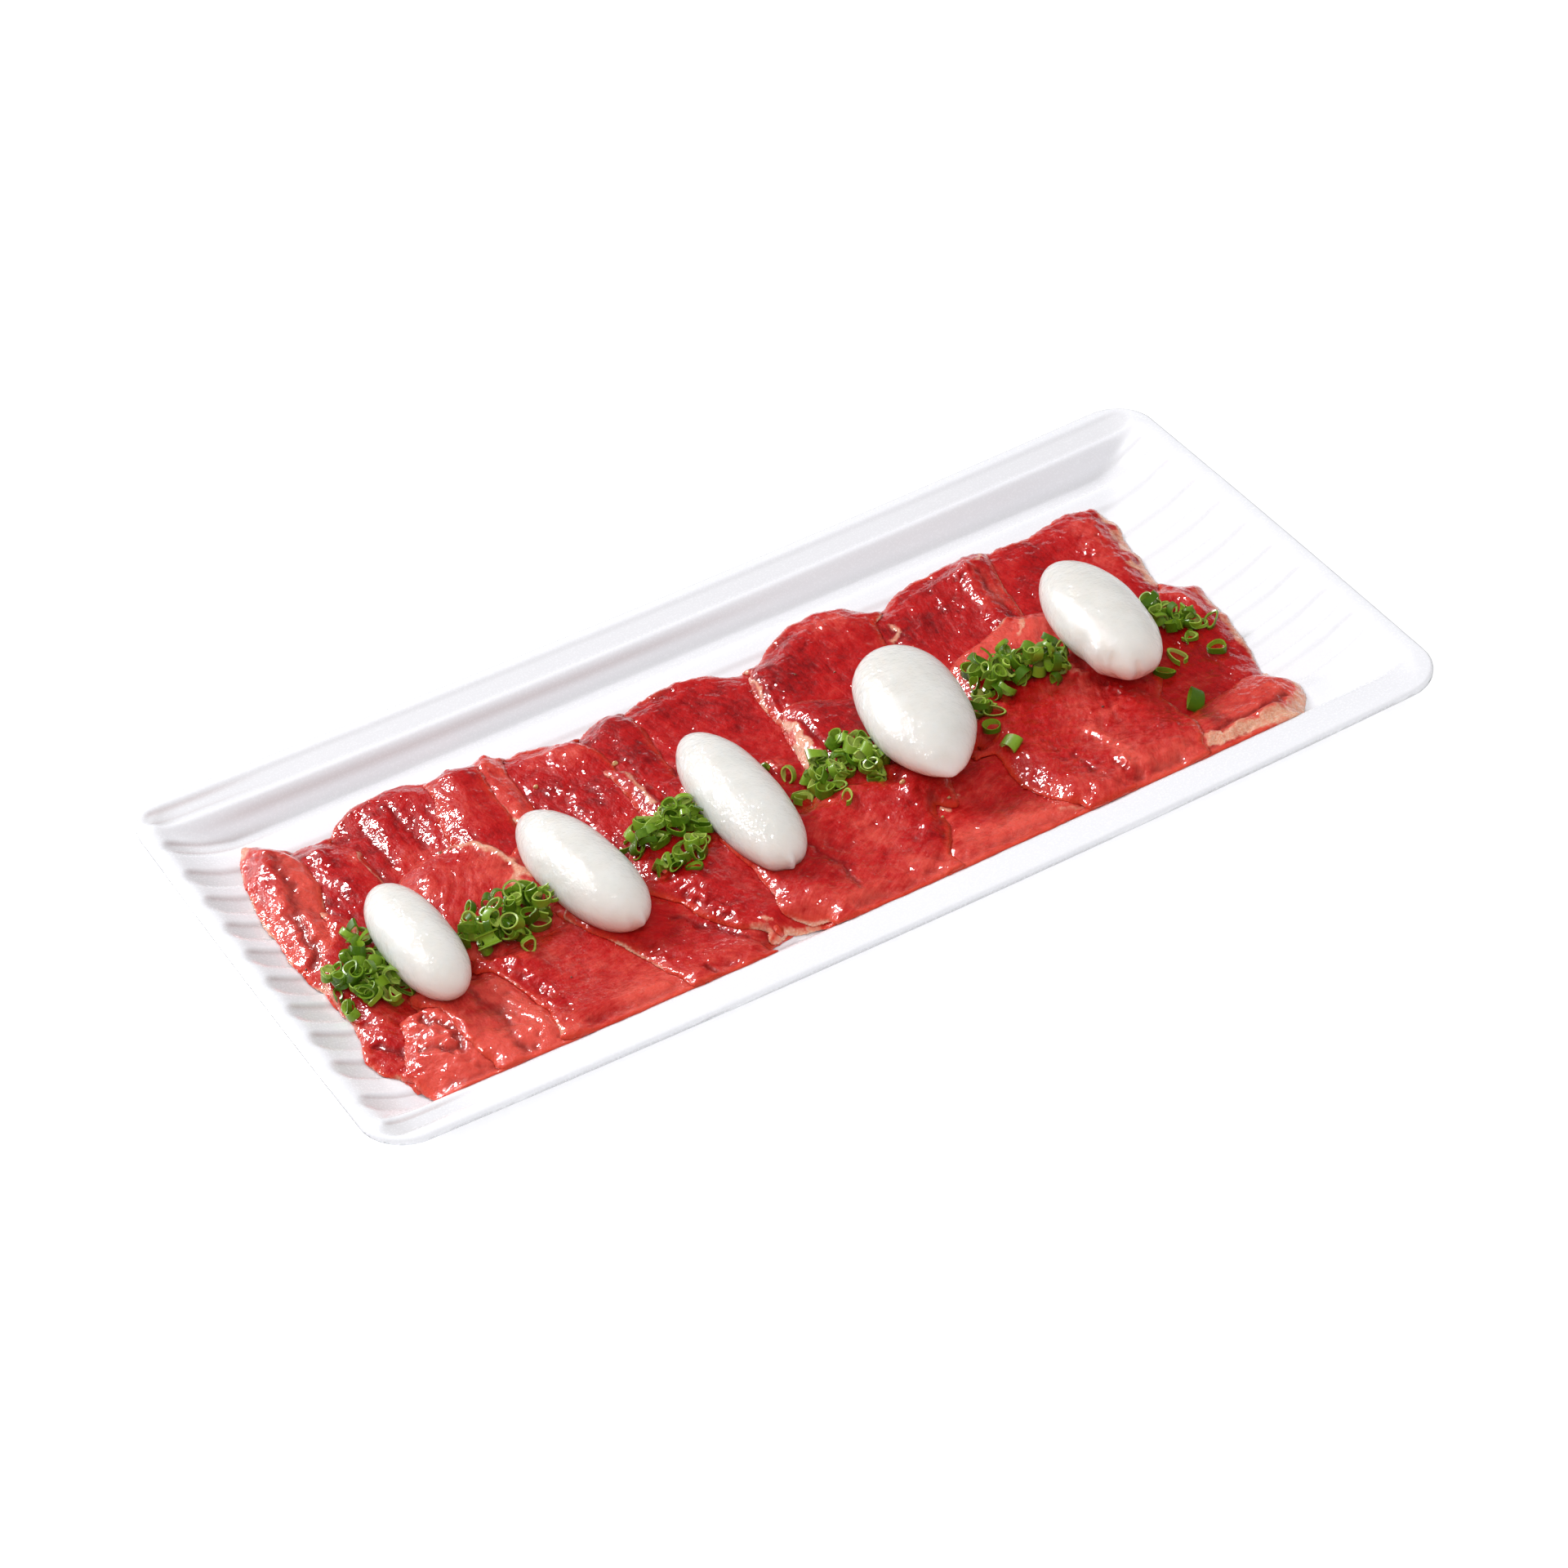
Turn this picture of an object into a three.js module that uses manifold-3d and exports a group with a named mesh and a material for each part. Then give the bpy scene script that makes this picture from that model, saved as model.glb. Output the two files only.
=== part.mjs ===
// A long white plate with twelve ribs, covered with overlapping slices of marinated raw beef neck.
// Five white ovals lie across the slices, with six small heaps of chopped chives beside them.
// Millimetres, +Z up. The plate stands on z = 0 with its middle over the origin, its length along X,
// and its front long side towards -Y.

import * as THREE from 'three';
import { mergeVertices } from 'three/addons/utils/BufferGeometryUtils.js';
import Module from 'manifold-3d';

const wasm = await Module();
wasm.setup();

// Plate, outside
const PLATE_LENGTH = 300;
const PLATE_WIDTH = 146.7;
const CORNER_RADIUS = 11.9;
const END_BOW = 0.5;
const SIDE_BOW = 0.27;
const RIM_HEIGHT = 16;
const RIM_RISE = 2.66;
const LIP_THICKNESS = 2.2;
const FLOOR_HEIGHT = 8;

// Cutting shapes reach past everything: below the foot, above the food and beyond the rim
const BELOW_ALL = -20;
const ABOVE_ALL = 50;
const BEYOND_RIM = 12;
const ABOVE_RIM = 6;

// Plate, ribs: the grooves between them run the whole length and stop short of the rim's ends
const GROOVE_LINES = [5.85, 17.55, 29.25, 40.95, 54.6, 66.3];
const GROOVE_DEPTH = 1.1;
const GROOVE_SHOULDER = 2.4;
const SHOULDER_SHARE = 0.25;
const GROOVE_END = 144.5;
const GROOVE_RUN_OUT = 3;

// Heights of the tops of the ribs, at a distance from the long middle line and from the short one
const SIDE_PROFILE = [
  [0, FLOOR_HEIGHT], [38, FLOOR_HEIGHT], [49.5, 10.5], [57, 9.9],
  [61.4, 14.4], [62.6, 14.9], [70, RIM_HEIGHT], [90, RIM_HEIGHT],
];
const END_PROFILE = [
  [0, FLOOR_HEIGHT], [118, FLOOR_HEIGHT], [126.5, 9.6], [136, 11.9],
  [141, 13.9], [145.5, RIM_HEIGHT], [170, RIM_HEIGHT],
];

// Plate, underside: half length, half width, corner radius and height of each ring down to the foot
const UNDERSIDE_RINGS = [
  [147.5, 71, 11, 13.2],
  [136, 64.5, 10, 9.2],
  [121, 54, 9, 4],
  [119, 52, 8, 0],
  [115, 48, 7, 0],
  [114, 47, 7, 3.4],
];

// Slices
const CONTACT_GAP = 0.3;
const EDGE_THICKNESS = 1.1;
const EDGE_TAPER = 6;
const DRAPE_PASSES = 2;
const OUTLINE_STEP = 7.5;
const EDGE_WOBBLE = 0.45;

// Ovals
const OVAL_SIDES = 12;
const OVAL_RINGS = 8;
const OVAL_SINK = 1.6;
const OVAL_PROBE_SIDES = 8;
const OVAL_BLUNTNESS = 0.76;

// Chives
const CHIVE_OUTER_RADIUS = 2.6;
const CHIVE_WALL = 0.75;
const CHIVE_SIDES = 5;
const HEAP_RING_LENGTHS = [1.6, 3.4];
const HEAP_RING_TILT = 60;
const HEAP_EDGE = 0.8;
const HEAP_OUTLINE_POINTS = 12;
const RING_SINK = 0.5;
const RING_PROBE_SIDES = 6;
const GOLDEN_ANGLE = Math.PI * (3 - Math.sqrt(5));

const degrees = THREE.MathUtils.degToRad;

function seededDraw(seed) {
  let state = seed;
  return () => {
    state = (state + 0x6d2b79f5) | 0;
    let mixed = Math.imul(state ^ (state >>> 15), 1 | state);
    mixed = (mixed + Math.imul(mixed ^ (mixed >>> 7), 61 | mixed)) ^ mixed;
    return ((mixed ^ (mixed >>> 14)) >>> 0) / 4294967296;
  };
}

// Closed meshes to solids and back

function toSolid(geometry) {
  const bare = geometry.clone();
  bare.deleteAttribute('normal');
  bare.deleteAttribute('uv');
  const merged = mergeVertices(bare, 1e-4);
  return new wasm.Manifold(new wasm.Mesh({
    numProp: 3,
    vertProperties: Float32Array.from(merged.attributes.position.array),
    triVerts: Uint32Array.from(merged.index.array),
  }));
}

function toGeometry(solid) {
  const mesh = solid.getMesh();
  const geometry = new THREE.BufferGeometry();
  geometry.setAttribute('position', new THREE.BufferAttribute(mesh.vertProperties, 3));
  geometry.setIndex(new THREE.BufferAttribute(mesh.triVerts, 1));
  geometry.computeVertexNormals();
  return geometry;
}

function largestPiece(solid) {
  const pieces = solid.decompose();
  return pieces.reduce((best, piece) => (piece.volume() > best.volume() ? piece : best));
}

function indexedGeometry(positions, faces) {
  const geometry = new THREE.BufferGeometry();
  geometry.setAttribute('position', new THREE.Float32BufferAttribute(positions, 3));
  geometry.setIndex(faces);
  return geometry;
}

// A closed block over a lattice of lines in X and Y, between two height functions of the lattice

function latticeBlock(xLines, yLines, topHeight, bottomHeight) {
  const columns = xLines.length;
  const rows = yLines.length;
  const positions = [];
  for (const heightAt of [topHeight, bottomHeight]) {
    for (let row = 0; row < rows; row += 1) {
      for (let column = 0; column < columns; column += 1) {
        positions.push(xLines[column], yLines[row], heightAt(column, row));
      }
    }
  }
  const faces = [];
  const top = (column, row) => row * columns + column;
  const bottom = (column, row) => (rows + row) * columns + column;
  for (let row = 0; row < rows - 1; row += 1) {
    for (let column = 0; column < columns - 1; column += 1) {
      const corners = [[column, row], [column + 1, row], [column + 1, row + 1], [column, row + 1]];
      const [a, b, c, d] = corners.map((corner) => top(...corner));
      faces.push(a, b, c, a, c, d);
      const [e, f, g, h] = corners.map((corner) => bottom(...corner));
      faces.push(e, g, f, e, h, g);
    }
  }
  const wall = (from, to) => {
    faces.push(top(...from), bottom(...from), bottom(...to));
    faces.push(top(...from), bottom(...to), top(...to));
  };
  for (let column = 0; column < columns - 1; column += 1) {
    wall([column, 0], [column + 1, 0]);
    wall([column + 1, rows - 1], [column, rows - 1]);
  }
  for (let row = 0; row < rows - 1; row += 1) {
    wall([columns - 1, row], [columns - 1, row + 1]);
    wall([0, row + 1], [0, row]);
  }
  return indexedGeometry(positions, faces);
}

// Plate

function heightAlong(profile, distance) {
  const next = profile.findIndex(([place]) => place > distance);
  const [fromPlace, fromHeight] = profile[next - 1];
  const [toPlace, toHeight] = profile[next];
  return THREE.MathUtils.mapLinear(distance, fromPlace, toPlace, fromHeight, toHeight);
}

function rimRise(x) {
  return RIM_RISE * (x / (PLATE_LENGTH / 2)) ** 2;
}

function ribTops(x, y) {
  const level = Math.max(heightAlong(SIDE_PROFILE, Math.abs(y)), heightAlong(END_PROFILE, Math.abs(x)));
  return level + rimRise(x) * (level - FLOOR_HEIGHT) / (RIM_HEIGHT - FLOOR_HEIGHT);
}

function grooveDepth(x, y) {
  const offset = Math.min(...GROOVE_LINES.map((line) => Math.abs(Math.abs(y) - line)));
  const shoulder = THREE.MathUtils.mapLinear(offset, 0, GROOVE_SHOULDER, 1, SHOULDER_SHARE);
  const crest = THREE.MathUtils.mapLinear(offset, GROOVE_SHOULDER, 2 * GROOVE_SHOULDER, SHOULDER_SHARE, 0);
  const share = offset < GROOVE_SHOULDER ? shoulder : Math.max(0, crest);
  const runOut = THREE.MathUtils.clamp((GROOVE_END + GROOVE_RUN_OUT - Math.abs(x)) / GROOVE_RUN_OUT, 0, 1);
  return GROOVE_DEPTH * share * runOut;
}

function mirrored(lines) {
  const both = new Set(lines.flatMap((line) => [-line, line]).map((line) => line + 0));
  return [...both].sort((first, second) => first - second);
}

function plateLattice() {
  const xLines = [0, 60, 118, 126.5, 136, 141, GROOVE_END, GROOVE_END + GROOVE_RUN_OUT];
  xLines.push(PLATE_LENGTH / 2 + BEYOND_RIM);
  const yLines = [0, 11.7, 23.4, 35.1, 49.5, 61.4, 62.6, 70, PLATE_WIDTH / 2 + BEYOND_RIM];
  GROOVE_LINES.forEach((line) => yLines.push(line - GROOVE_SHOULDER, line, line + GROOVE_SHOULDER));
  return [mirrored(xLines), mirrored(yLines)];
}

// Points round a rectangle with round corners, anticlockwise, the long sides split finely enough
// for the rise of the rim

function roundedRectangle(halfLength, halfWidth, radius) {
  const cornerSteps = 4;
  const sideSteps = 8;
  const endSteps = 2;
  const points = [];
  const corners = [[1, -1], [1, 1], [-1, 1], [-1, -1]];
  corners.forEach(([signX, signY], index) => {
    const centre = new THREE.Vector2(signX * (halfLength - radius), signY * (halfWidth - radius));
    const start = (index - 1) * Math.PI / 2;
    for (let step = 0; step <= cornerSteps; step += 1) {
      const angle = start + step / cornerSteps * Math.PI / 2;
      points.push(new THREE.Vector2(Math.cos(angle), Math.sin(angle)).multiplyScalar(radius).add(centre));
    }
    const from = points[points.length - 1];
    const isEnd = index % 2 === 0;
    const length = isEnd ? 2 * (halfWidth - radius) : 2 * (halfLength - radius);
    const direction = isEnd ? new THREE.Vector2(0, signX) : new THREE.Vector2(-signY, 0);
    const steps = isEnd ? endSteps : sideSteps;
    for (let step = 1; step < steps; step += 1) {
      points.push(from.clone().addScaledVector(direction, step / steps * length));
    }
  });
  return points;
}

// The ends and the long sides bulge slightly, most at their middles

function bowed(point) {
  const isEnd = Math.abs(point.x) > PLATE_LENGTH / 2 - CORNER_RADIUS;
  const isSide = Math.abs(point.y) > PLATE_WIDTH / 2 - CORNER_RADIUS;
  const endBulge = isEnd ? END_BOW * (1 - (2 * point.y / PLATE_WIDTH) ** 2) : 0;
  const sideBulge = isSide ? SIDE_BOW * (1 - (2 * point.x / PLATE_LENGTH) ** 2) : 0;
  return new THREE.Vector2(
    point.x + Math.sign(point.x) * Math.max(0, endBulge),
    point.y + Math.sign(point.y) * Math.max(0, sideBulge),
  );
}

function plateBody() {
  const outerHalfLength = PLATE_LENGTH / 2 - END_BOW;
  const outerHalfWidth = PLATE_WIDTH / 2 - SIDE_BOW;
  const outline = roundedRectangle(outerHalfLength, outerHalfWidth, CORNER_RADIUS).map(bowed);
  const aboveRim = RIM_HEIGHT + RIM_RISE + ABOVE_RIM;
  const rings = [
    outline.map((point) => [point.x, point.y, aboveRim]),
    outline.map((point) => [point.x, point.y, RIM_HEIGHT + rimRise(point.x) - LIP_THICKNESS]),
  ];
  UNDERSIDE_RINGS.forEach(([halfLength, halfWidth, radius, height], index) => {
    const rise = index === 0 ? rimRise : () => 0;
    const ring = roundedRectangle(halfLength, halfWidth, radius);
    rings.push(ring.map((point) => [point.x, point.y, height + rise(point.x)]));
  });
  const count = outline.length;
  const positions = rings.flat(2);
  positions.push(0, 0, aboveRim, 0, 0, UNDERSIDE_RINGS.at(-1)[3]);
  const topCentre = rings.length * count;
  const bottomCentre = topCentre + 1;
  const lastRing = (rings.length - 1) * count;
  const faces = [];
  for (let here = 0; here < count; here += 1) {
    const next = (here + 1) % count;
    faces.push(topCentre, here, next);
    faces.push(bottomCentre, lastRing + next, lastRing + here);
    for (let ring = 0; ring < rings.length - 1; ring += 1) {
      const upper = ring * count;
      const lower = upper + count;
      faces.push(upper + here, lower + here, lower + next);
      faces.push(upper + here, lower + next, upper + next);
    }
  }
  return toSolid(indexedGeometry(positions, faces));
}

function plateSolid() {
  const [xLines, yLines] = plateLattice();
  const wellAbove = latticeBlock(
    xLines,
    yLines,
    () => ABOVE_ALL,
    (column, row) => {
      const x = xLines[column];
      const y = yLines[row];
      return ribTops(x, y) - grooveDepth(x, y);
    },
  );
  return plateBody().subtract(toSolid(wellAbove));
}

// Slices, from the lowest to the highest. Each has the corner points of its outline, its thickness,
// a wave across it, and folds: ridges along a line, with their rise and spread.

const RED = 0xb5262b;
const DEEP_RED = 0x9c1c24;
const PINK_RED = 0xc94a48;

const SLICES = [
  {
    name: 'beef_slice_01_back_right_end',
    colour: DEEP_RED,
    thickness: 2.5,
    outline: [[83, 44], [97, 44.8], [111, 46.5], [118.5, 46.3], [123, 42], [120.5, 31], [118.5, 17],
      [114, 2], [97, -4], [80, 10]],
    wave: { rise: 0.8, length: 42, heading: 15, phase: 0 },
    folds: [{ from: [114, 42], to: [110, 12], rise: 1, spread: 7 }],
  },
  {
    name: 'beef_slice_02_back_right',
    colour: RED,
    thickness: 2.4,
    outline: [[46, 36], [53, 42], [60, 45.5], [80, 47], [86, 46], [83, 34], [80, 19], [77, 8], [70, 4],
      [48, 10]],
    wave: { rise: 0.7, length: 36, heading: 170, phase: 1 },
    folds: [{ from: [78, 44], to: [77, 20], rise: 2, spread: 7 }],
  },
  {
    name: 'beef_slice_03_back_middle',
    colour: RED,
    thickness: 2.4,
    outline: [[-28, 42], [-18, 45], [-1, 46], [5, 42], [10, 43], [11, 28], [5, -2], [-6, -20],
      [-26, -20], [-30, 12]],
    wave: { rise: 0.9, length: 40, heading: 20, phase: 2 },
    folds: [],
  },
  {
    name: 'beef_slice_04_back_middle_right',
    colour: DEEP_RED,
    thickness: 2.5,
    outline: [[9, 37], [16, 42.5], [28, 48.3], [41, 48.5], [48, 43], [46, 32], [42, 10], [42, -16],
      [27, -18], [10, 4], [6, 20]],
    wave: { rise: 0.8, length: 45, heading: 80, phase: 1 },
    folds: [{ from: [10, 36], to: [9, 14], rise: 1.6, spread: 6 }],
  },
  {
    name: 'beef_slice_05_back_narrow',
    colour: DEEP_RED,
    thickness: 2.2,
    outline: [[-41, 39], [-35, 43], [-25, 44], [-24, 29], [-27, 7], [-36, -4], [-43, 18]],
    wave: { rise: 0.4, length: 30, heading: 0, phase: 0 },
    folds: [],
  },
  {
    name: 'beef_slice_06_back_left_middle',
    colour: RED,
    thickness: 2.4,
    outline: [[-61, 44], [-50, 44.8], [-41, 42], [-37.5, 30], [-38, 6], [-44, -18], [-62, -18], [-64, 22]],
    wave: { rise: 0.8, length: 34, heading: 60, phase: 2 },
    folds: [],
  },
  {
    name: 'beef_slice_07_back_fold',
    colour: PINK_RED,
    thickness: 2.3,
    outline: [[-68.5, 46], [-63, 47.5], [-59, 48], [-60.5, 36], [-61.5, 10], [-67, 2], [-71, 20]],
    wave: { rise: 0.3, length: 30, heading: 90, phase: 0 },
    folds: [{ from: [-63, 46], to: [-64, 12], rise: 1.6, spread: 6 }],
  },
  {
    name: 'beef_slice_08_back_left',
    colour: DEEP_RED,
    thickness: 2.4,
    outline: [[-109.5, 40], [-106, 44.5], [-99, 48.8], [-86, 50.2], [-78, 48], [-76, 29], [-79, 6],
      [-94, 1], [-106, 12]],
    wave: { rise: 1, length: 24, heading: 15, phase: 0 },
    folds: [],
  },
  {
    name: 'beef_slice_09_back_smooth',
    colour: RED,
    thickness: 2.2,
    outline: [[-80, 45], [-72, 47], [-66, 46], [-67, 32], [-70, 10], [-78, 4], [-85, 20], [-83, 32],
      [-78.5, 41]],
    wave: { rise: 0.5, length: 34, heading: 0, phase: 2 },
    folds: [],
  },
  {
    name: 'beef_slice_10_back_left_end',
    colour: RED,
    thickness: 2.4,
    outline: [[-120.5, 42.5], [-117.5, 45], [-111, 41.5], [-104.5, 36.5], [-104.2, 20], [-105, 8],
      [-106, -4], [-118, -4], [-121.5, 22]],
    wave: { rise: 0.5, length: 28, heading: 0, phase: 0 },
    folds: [{ from: [-107, 36], to: [-106, 14], rise: 1.2, spread: 5 }],
  },
  {
    name: 'beef_slice_11_left_end_curl',
    colour: PINK_RED,
    thickness: 2.6,
    outline: [[-127.5, 51.5], [-121, 45], [-118, 34], [-118, 27], [-122, 14], [-128, -12], [-134.5, -12],
      [-136, 20], [-133, 38]],
    wave: { rise: 0.3, length: 30, heading: 90, phase: 0 },
    folds: [{ from: [-123, 46], to: [-125, 8], rise: 1.8, spread: 6 }],
  },
  {
    name: 'beef_slice_12_left_middle',
    colour: RED,
    thickness: 2.4,
    outline: [[-123, 16.5], [-119, 10], [-116.5, 4.5], [-106, 3.5], [-99, 1], [-98, -14], [-104, -30],
      [-114, -40], [-126, -47], [-133.5, -47], [-137.5, -37], [-133.5, -28], [-134, -18], [-133.5, -6],
      [-124.5, 4]],
    wave: { rise: 0.6, length: 40, heading: 40, phase: 0 },
    folds: [],
  },
  {
    name: 'beef_slice_13_left_crumbly_fat',
    colour: PINK_RED,
    thickness: 2.4,
    outline: [[-103, 12], [-101, 17], [-93, 21.3], [-85, 18.2], [-79, 14.8], [-75.5, 5], [-71.5, -6],
      [-70, -20], [-80, -27], [-96, -25], [-102, -6]],
    wave: { rise: 0.5, length: 44, heading: 90, phase: 1 },
    folds: [],
  },
  {
    name: 'beef_slice_14_middle_white_fat',
    colour: RED,
    thickness: 2.4,
    outline: [[-41, 24], [-37.5, 23], [-33.8, 13], [-32, 3], [-30, -8], [-30, -20], [-42, -25], [-54, -17],
      [-50, -8], [-41, 1], [-40, 14]],
    wave: { rise: 0.5, length: 32, heading: 0, phase: 1 },
    folds: [{ from: [-35, 22], to: [-32, 2], rise: 1.5, spread: 6 }],
  },
  {
    name: 'beef_slice_15_middle_fat_wedge',
    colour: RED,
    thickness: 2.4,
    outline: [[9.3, 18.5], [20, 15.5], [31, 8], [33, -8], [27, -23], [12, -27], [3.5, -20], [2.4, -5],
      [4.4, 5], [7, 14]],
    wave: { rise: 0.6, length: 36, heading: 30, phase: 2 },
    folds: [{ from: [10, 14], to: [6, -2], rise: 0.8, spread: 5 }],
  },
  {
    name: 'beef_slice_16_right_end',
    colour: DEEP_RED,
    thickness: 2.5,
    outline: [[104, 3], [113, 5.5], [122.5, 6.5], [124, -3], [122.5, -17], [120.5, -28], [117.5, -36],
      [115, -44], [100, -49], [87, -36], [92, -8]],
    wave: { rise: 0.6, length: 38, heading: 70, phase: 0 },
    folds: [],
  },
  {
    name: 'beef_slice_17_right_front_fold',
    colour: PINK_RED,
    thickness: 2.6,
    outline: [[90, -42], [102, -40.5], [116.5, -37.5], [121, -44], [119.5, -53], [115, -58], [100, -60],
      [86, -60], [84, -50]],
    wave: { rise: 0.3, length: 30, heading: 0, phase: 0 },
    folds: [{ from: [92, -55], to: [115, -55], rise: 1.6, spread: 5 }],
  },
  {
    name: 'beef_slice_18_left_front_end',
    colour: PINK_RED,
    thickness: 2.6,
    outline: [[-124.5, -31.5], [-120, -28.5], [-115.5, -29.5], [-113, -42], [-110.5, -58], [-117, -60.5],
      [-127, -59.5], [-131, -54], [-130, -46], [-126.5, -39]],
    wave: { rise: 0.4, length: 26, heading: 30, phase: 0 },
    folds: [{ from: [-122, -40], to: [-119, -50], rise: 1.4, spread: 7 }],
  },
  {
    name: 'beef_slice_19_left_front_arch',
    colour: RED,
    thickness: 2.4,
    outline: [[-113, -25], [-101, -25], [-95.5, -36], [-93.5, -48], [-96, -60], [-112, -60], [-115, -44]],
    wave: { rise: 0.4, length: 30, heading: 0, phase: 2 },
    folds: [{ from: [-101, -34], to: [-100, -56], rise: 1.2, spread: 6 }],
  },
  {
    name: 'beef_slice_20_front_left',
    colour: RED,
    thickness: 2.4,
    outline: [[-97, -24], [-82, -21], [-71, -23], [-65.5, -37], [-60.5, -51], [-58.5, -60], [-76, -60],
      [-95, -60], [-92, -40]],
    wave: { rise: 0.7, length: 46, heading: 20, phase: 1 },
    folds: [],
  },
  {
    name: 'beef_slice_21_front_left_middle',
    colour: RED,
    thickness: 2.4,
    outline: [[-72, -23], [-58, -22], [-49.5, -31], [-41, -45], [-35.8, -50.5], [-37.5, -58], [-48, -60.5],
      [-61, -60], [-65.5, -42]],
    wave: { rise: 0.7, length: 32, heading: 40, phase: 0 },
    folds: [],
  },
  {
    name: 'beef_slice_22_front_middle_left',
    colour: RED,
    thickness: 2.3,
    outline: [[-49, -21], [-36, -17], [-20, -22], [-18, -40], [-20, -56], [-28, -56], [-34, -54],
      [-42.5, -47.5], [-47.5, -37]],
    wave: { rise: 0.6, length: 36, heading: 30, phase: 1 },
    folds: [{ from: [-43, -30], to: [-34, -48], rise: 1, spread: 5 }],
  },
  {
    name: 'beef_slice_23_front_middle_right',
    colour: RED,
    thickness: 2.4,
    outline: [[22, -28], [40, -25], [56, -32], [60, -46], [56, -60], [30, -60], [11, -60], [14.5, -52],
      [19.5, -43]],
    wave: { rise: 0.7, length: 34, heading: 70, phase: 2 },
    folds: [],
  },
  {
    name: 'beef_slice_24_front_middle',
    colour: RED,
    thickness: 2.4,
    outline: [[-26, -21], [-4, -16], [14, -20], [24.5, -26], [20.5, -34], [18.5, -42], [14, -50],
      [10.5, -60], [-4, -60], [-17, -60], [-27, -55.5], [-31, -52.5], [-29.5, -43]],
    wave: { rise: 0.8, length: 48, heading: 0, phase: 3 },
    folds: [{ from: [21, -29], to: [15, -44], rise: 1.2, spread: 6 }],
  },
  {
    name: 'beef_slice_25_front_right',
    colour: RED,
    thickness: 2.4,
    outline: [[52.5, 9], [64, 13], [75.5, 15.8], [85.5, 14.5], [92, 0], [90, -25], [90.5, -40], [87, -56],
      [80, -60], [66, -60], [51, -60], [43, -45], [45, -20], [50, -4]],
    wave: { rise: 0.7, length: 40, heading: 10, phase: 1 },
    folds: [{ from: [68, -18], to: [70, -46], rise: 1, spread: 6 }],
  },
];

// The slices are draped one after another over a common lattice, so a slice's underside follows
// the highest surface below it. The same diagonal splits every cell, so two slices never cross.
// The lines along the plate lie on the bends of its side profile.

const DRAPE_X = mirrored([0, 10, 20, 30, 40, 50, 60, 70, 80, 90, 99, 108, 118, 126.5, 136, 145.5]);
const DRAPE_Y = mirrored([0, 9.5, 19, 28.5, 38, 44, 49.5, 55, 61.4, 68]);

function smoothOutline(corners, draw) {
  const curve = new THREE.CatmullRomCurve3(corners.map(([x, y]) => new THREE.Vector3(x, y, 0)), true);
  const count = Math.round(curve.getLength() / OUTLINE_STEP);
  const points = curve.getSpacedPoints(count).slice(0, count);
  return points.map((point) => new THREE.Vector2(
    point.x + EDGE_WOBBLE * (2 * draw() - 1),
    point.y + EDGE_WOBBLE * (2 * draw() - 1),
  ));
}

function isInside(outline, x, y) {
  let inside = false;
  outline.forEach((here, index) => {
    const next = outline[(index + 1) % outline.length];
    const crosses = (here.y > y) !== (next.y > y);
    if (crosses && x < (next.x - here.x) * (y - here.y) / (next.y - here.y) + here.x) {
      inside = !inside;
    }
  });
  return inside;
}

// The lattice nodes round every cell that an outline touches, as a set of numbers

function nodesUnder(outline) {
  const samples = 8;
  const nodes = new Set();
  const addCell = ([column, row]) => {
    for (const [right, up] of [[0, 0], [1, 0], [1, 1], [0, 1]]) {
      nodes.add((row + up) * DRAPE_X.length + column + right);
    }
  };
  for (let row = 0; row < DRAPE_Y.length - 1; row += 1) {
    for (let column = 0; column < DRAPE_X.length - 1; column += 1) {
      if (isInside(outline, DRAPE_X[column], DRAPE_Y[row])) {
        addCell([column, row]);
        addCell([column - 1, row]);
        addCell([column, row - 1]);
        addCell([column - 1, row - 1]);
      }
    }
  }
  outline.forEach((here, index) => {
    const next = outline[(index + 1) % outline.length];
    for (let sample = 0; sample < samples; sample += 1) {
      addCell(cellAt(here.clone().lerp(next, sample / samples)));
    }
  });
  return nodes;
}

function cellAt(point) {
  const before = (lines, place) => lines.findLastIndex((line) => line <= place);
  return [before(DRAPE_X, point.x), before(DRAPE_Y, point.y)];
}

// How far inside an outline a place is, as a share of the width over which the edge thins out

function insideShare(outline, x, y) {
  if (!isInside(outline, x, y)) {
    return 0;
  }
  const here = new THREE.Vector3(x, y, 0);
  const distances = outline.map((from, index) => {
    const to = outline[(index + 1) % outline.length];
    return awayFrom(here, [from.x, from.y], [to.x, to.y]);
  });
  return Math.min(1, Math.min(...distances) / EDGE_TAPER);
}

function awayFrom(here, from, to) {
  const line = new THREE.Line3(new THREE.Vector3(...from, 0), new THREE.Vector3(...to, 0));
  return here.distanceTo(line.closestPointToPoint(here, true, new THREE.Vector3()));
}

function ownRelief({ wave, folds }, inside, x, y) {
  const heading = degrees(wave.heading);
  const turn = 2 * Math.PI * (x * Math.cos(heading) + y * Math.sin(heading)) / wave.length;
  let relief = inside * wave.rise * (0.5 + 0.5 * Math.cos(turn + wave.phase));
  const here = new THREE.Vector3(x, y, 0);
  for (const { from, to, rise, spread } of folds) {
    relief += rise * Math.exp(-((awayFrom(here, from, to) / spread) ** 2));
  }
  return relief;
}

function nodePlace(node) {
  return [DRAPE_X[node % DRAPE_X.length], DRAPE_Y[Math.floor(node / DRAPE_X.length)]];
}

function restingHeights(highest) {
  return highest.map((height, node) => Math.max(height, ribTops(...nodePlace(node))) + CONTACT_GAP);
}

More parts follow.
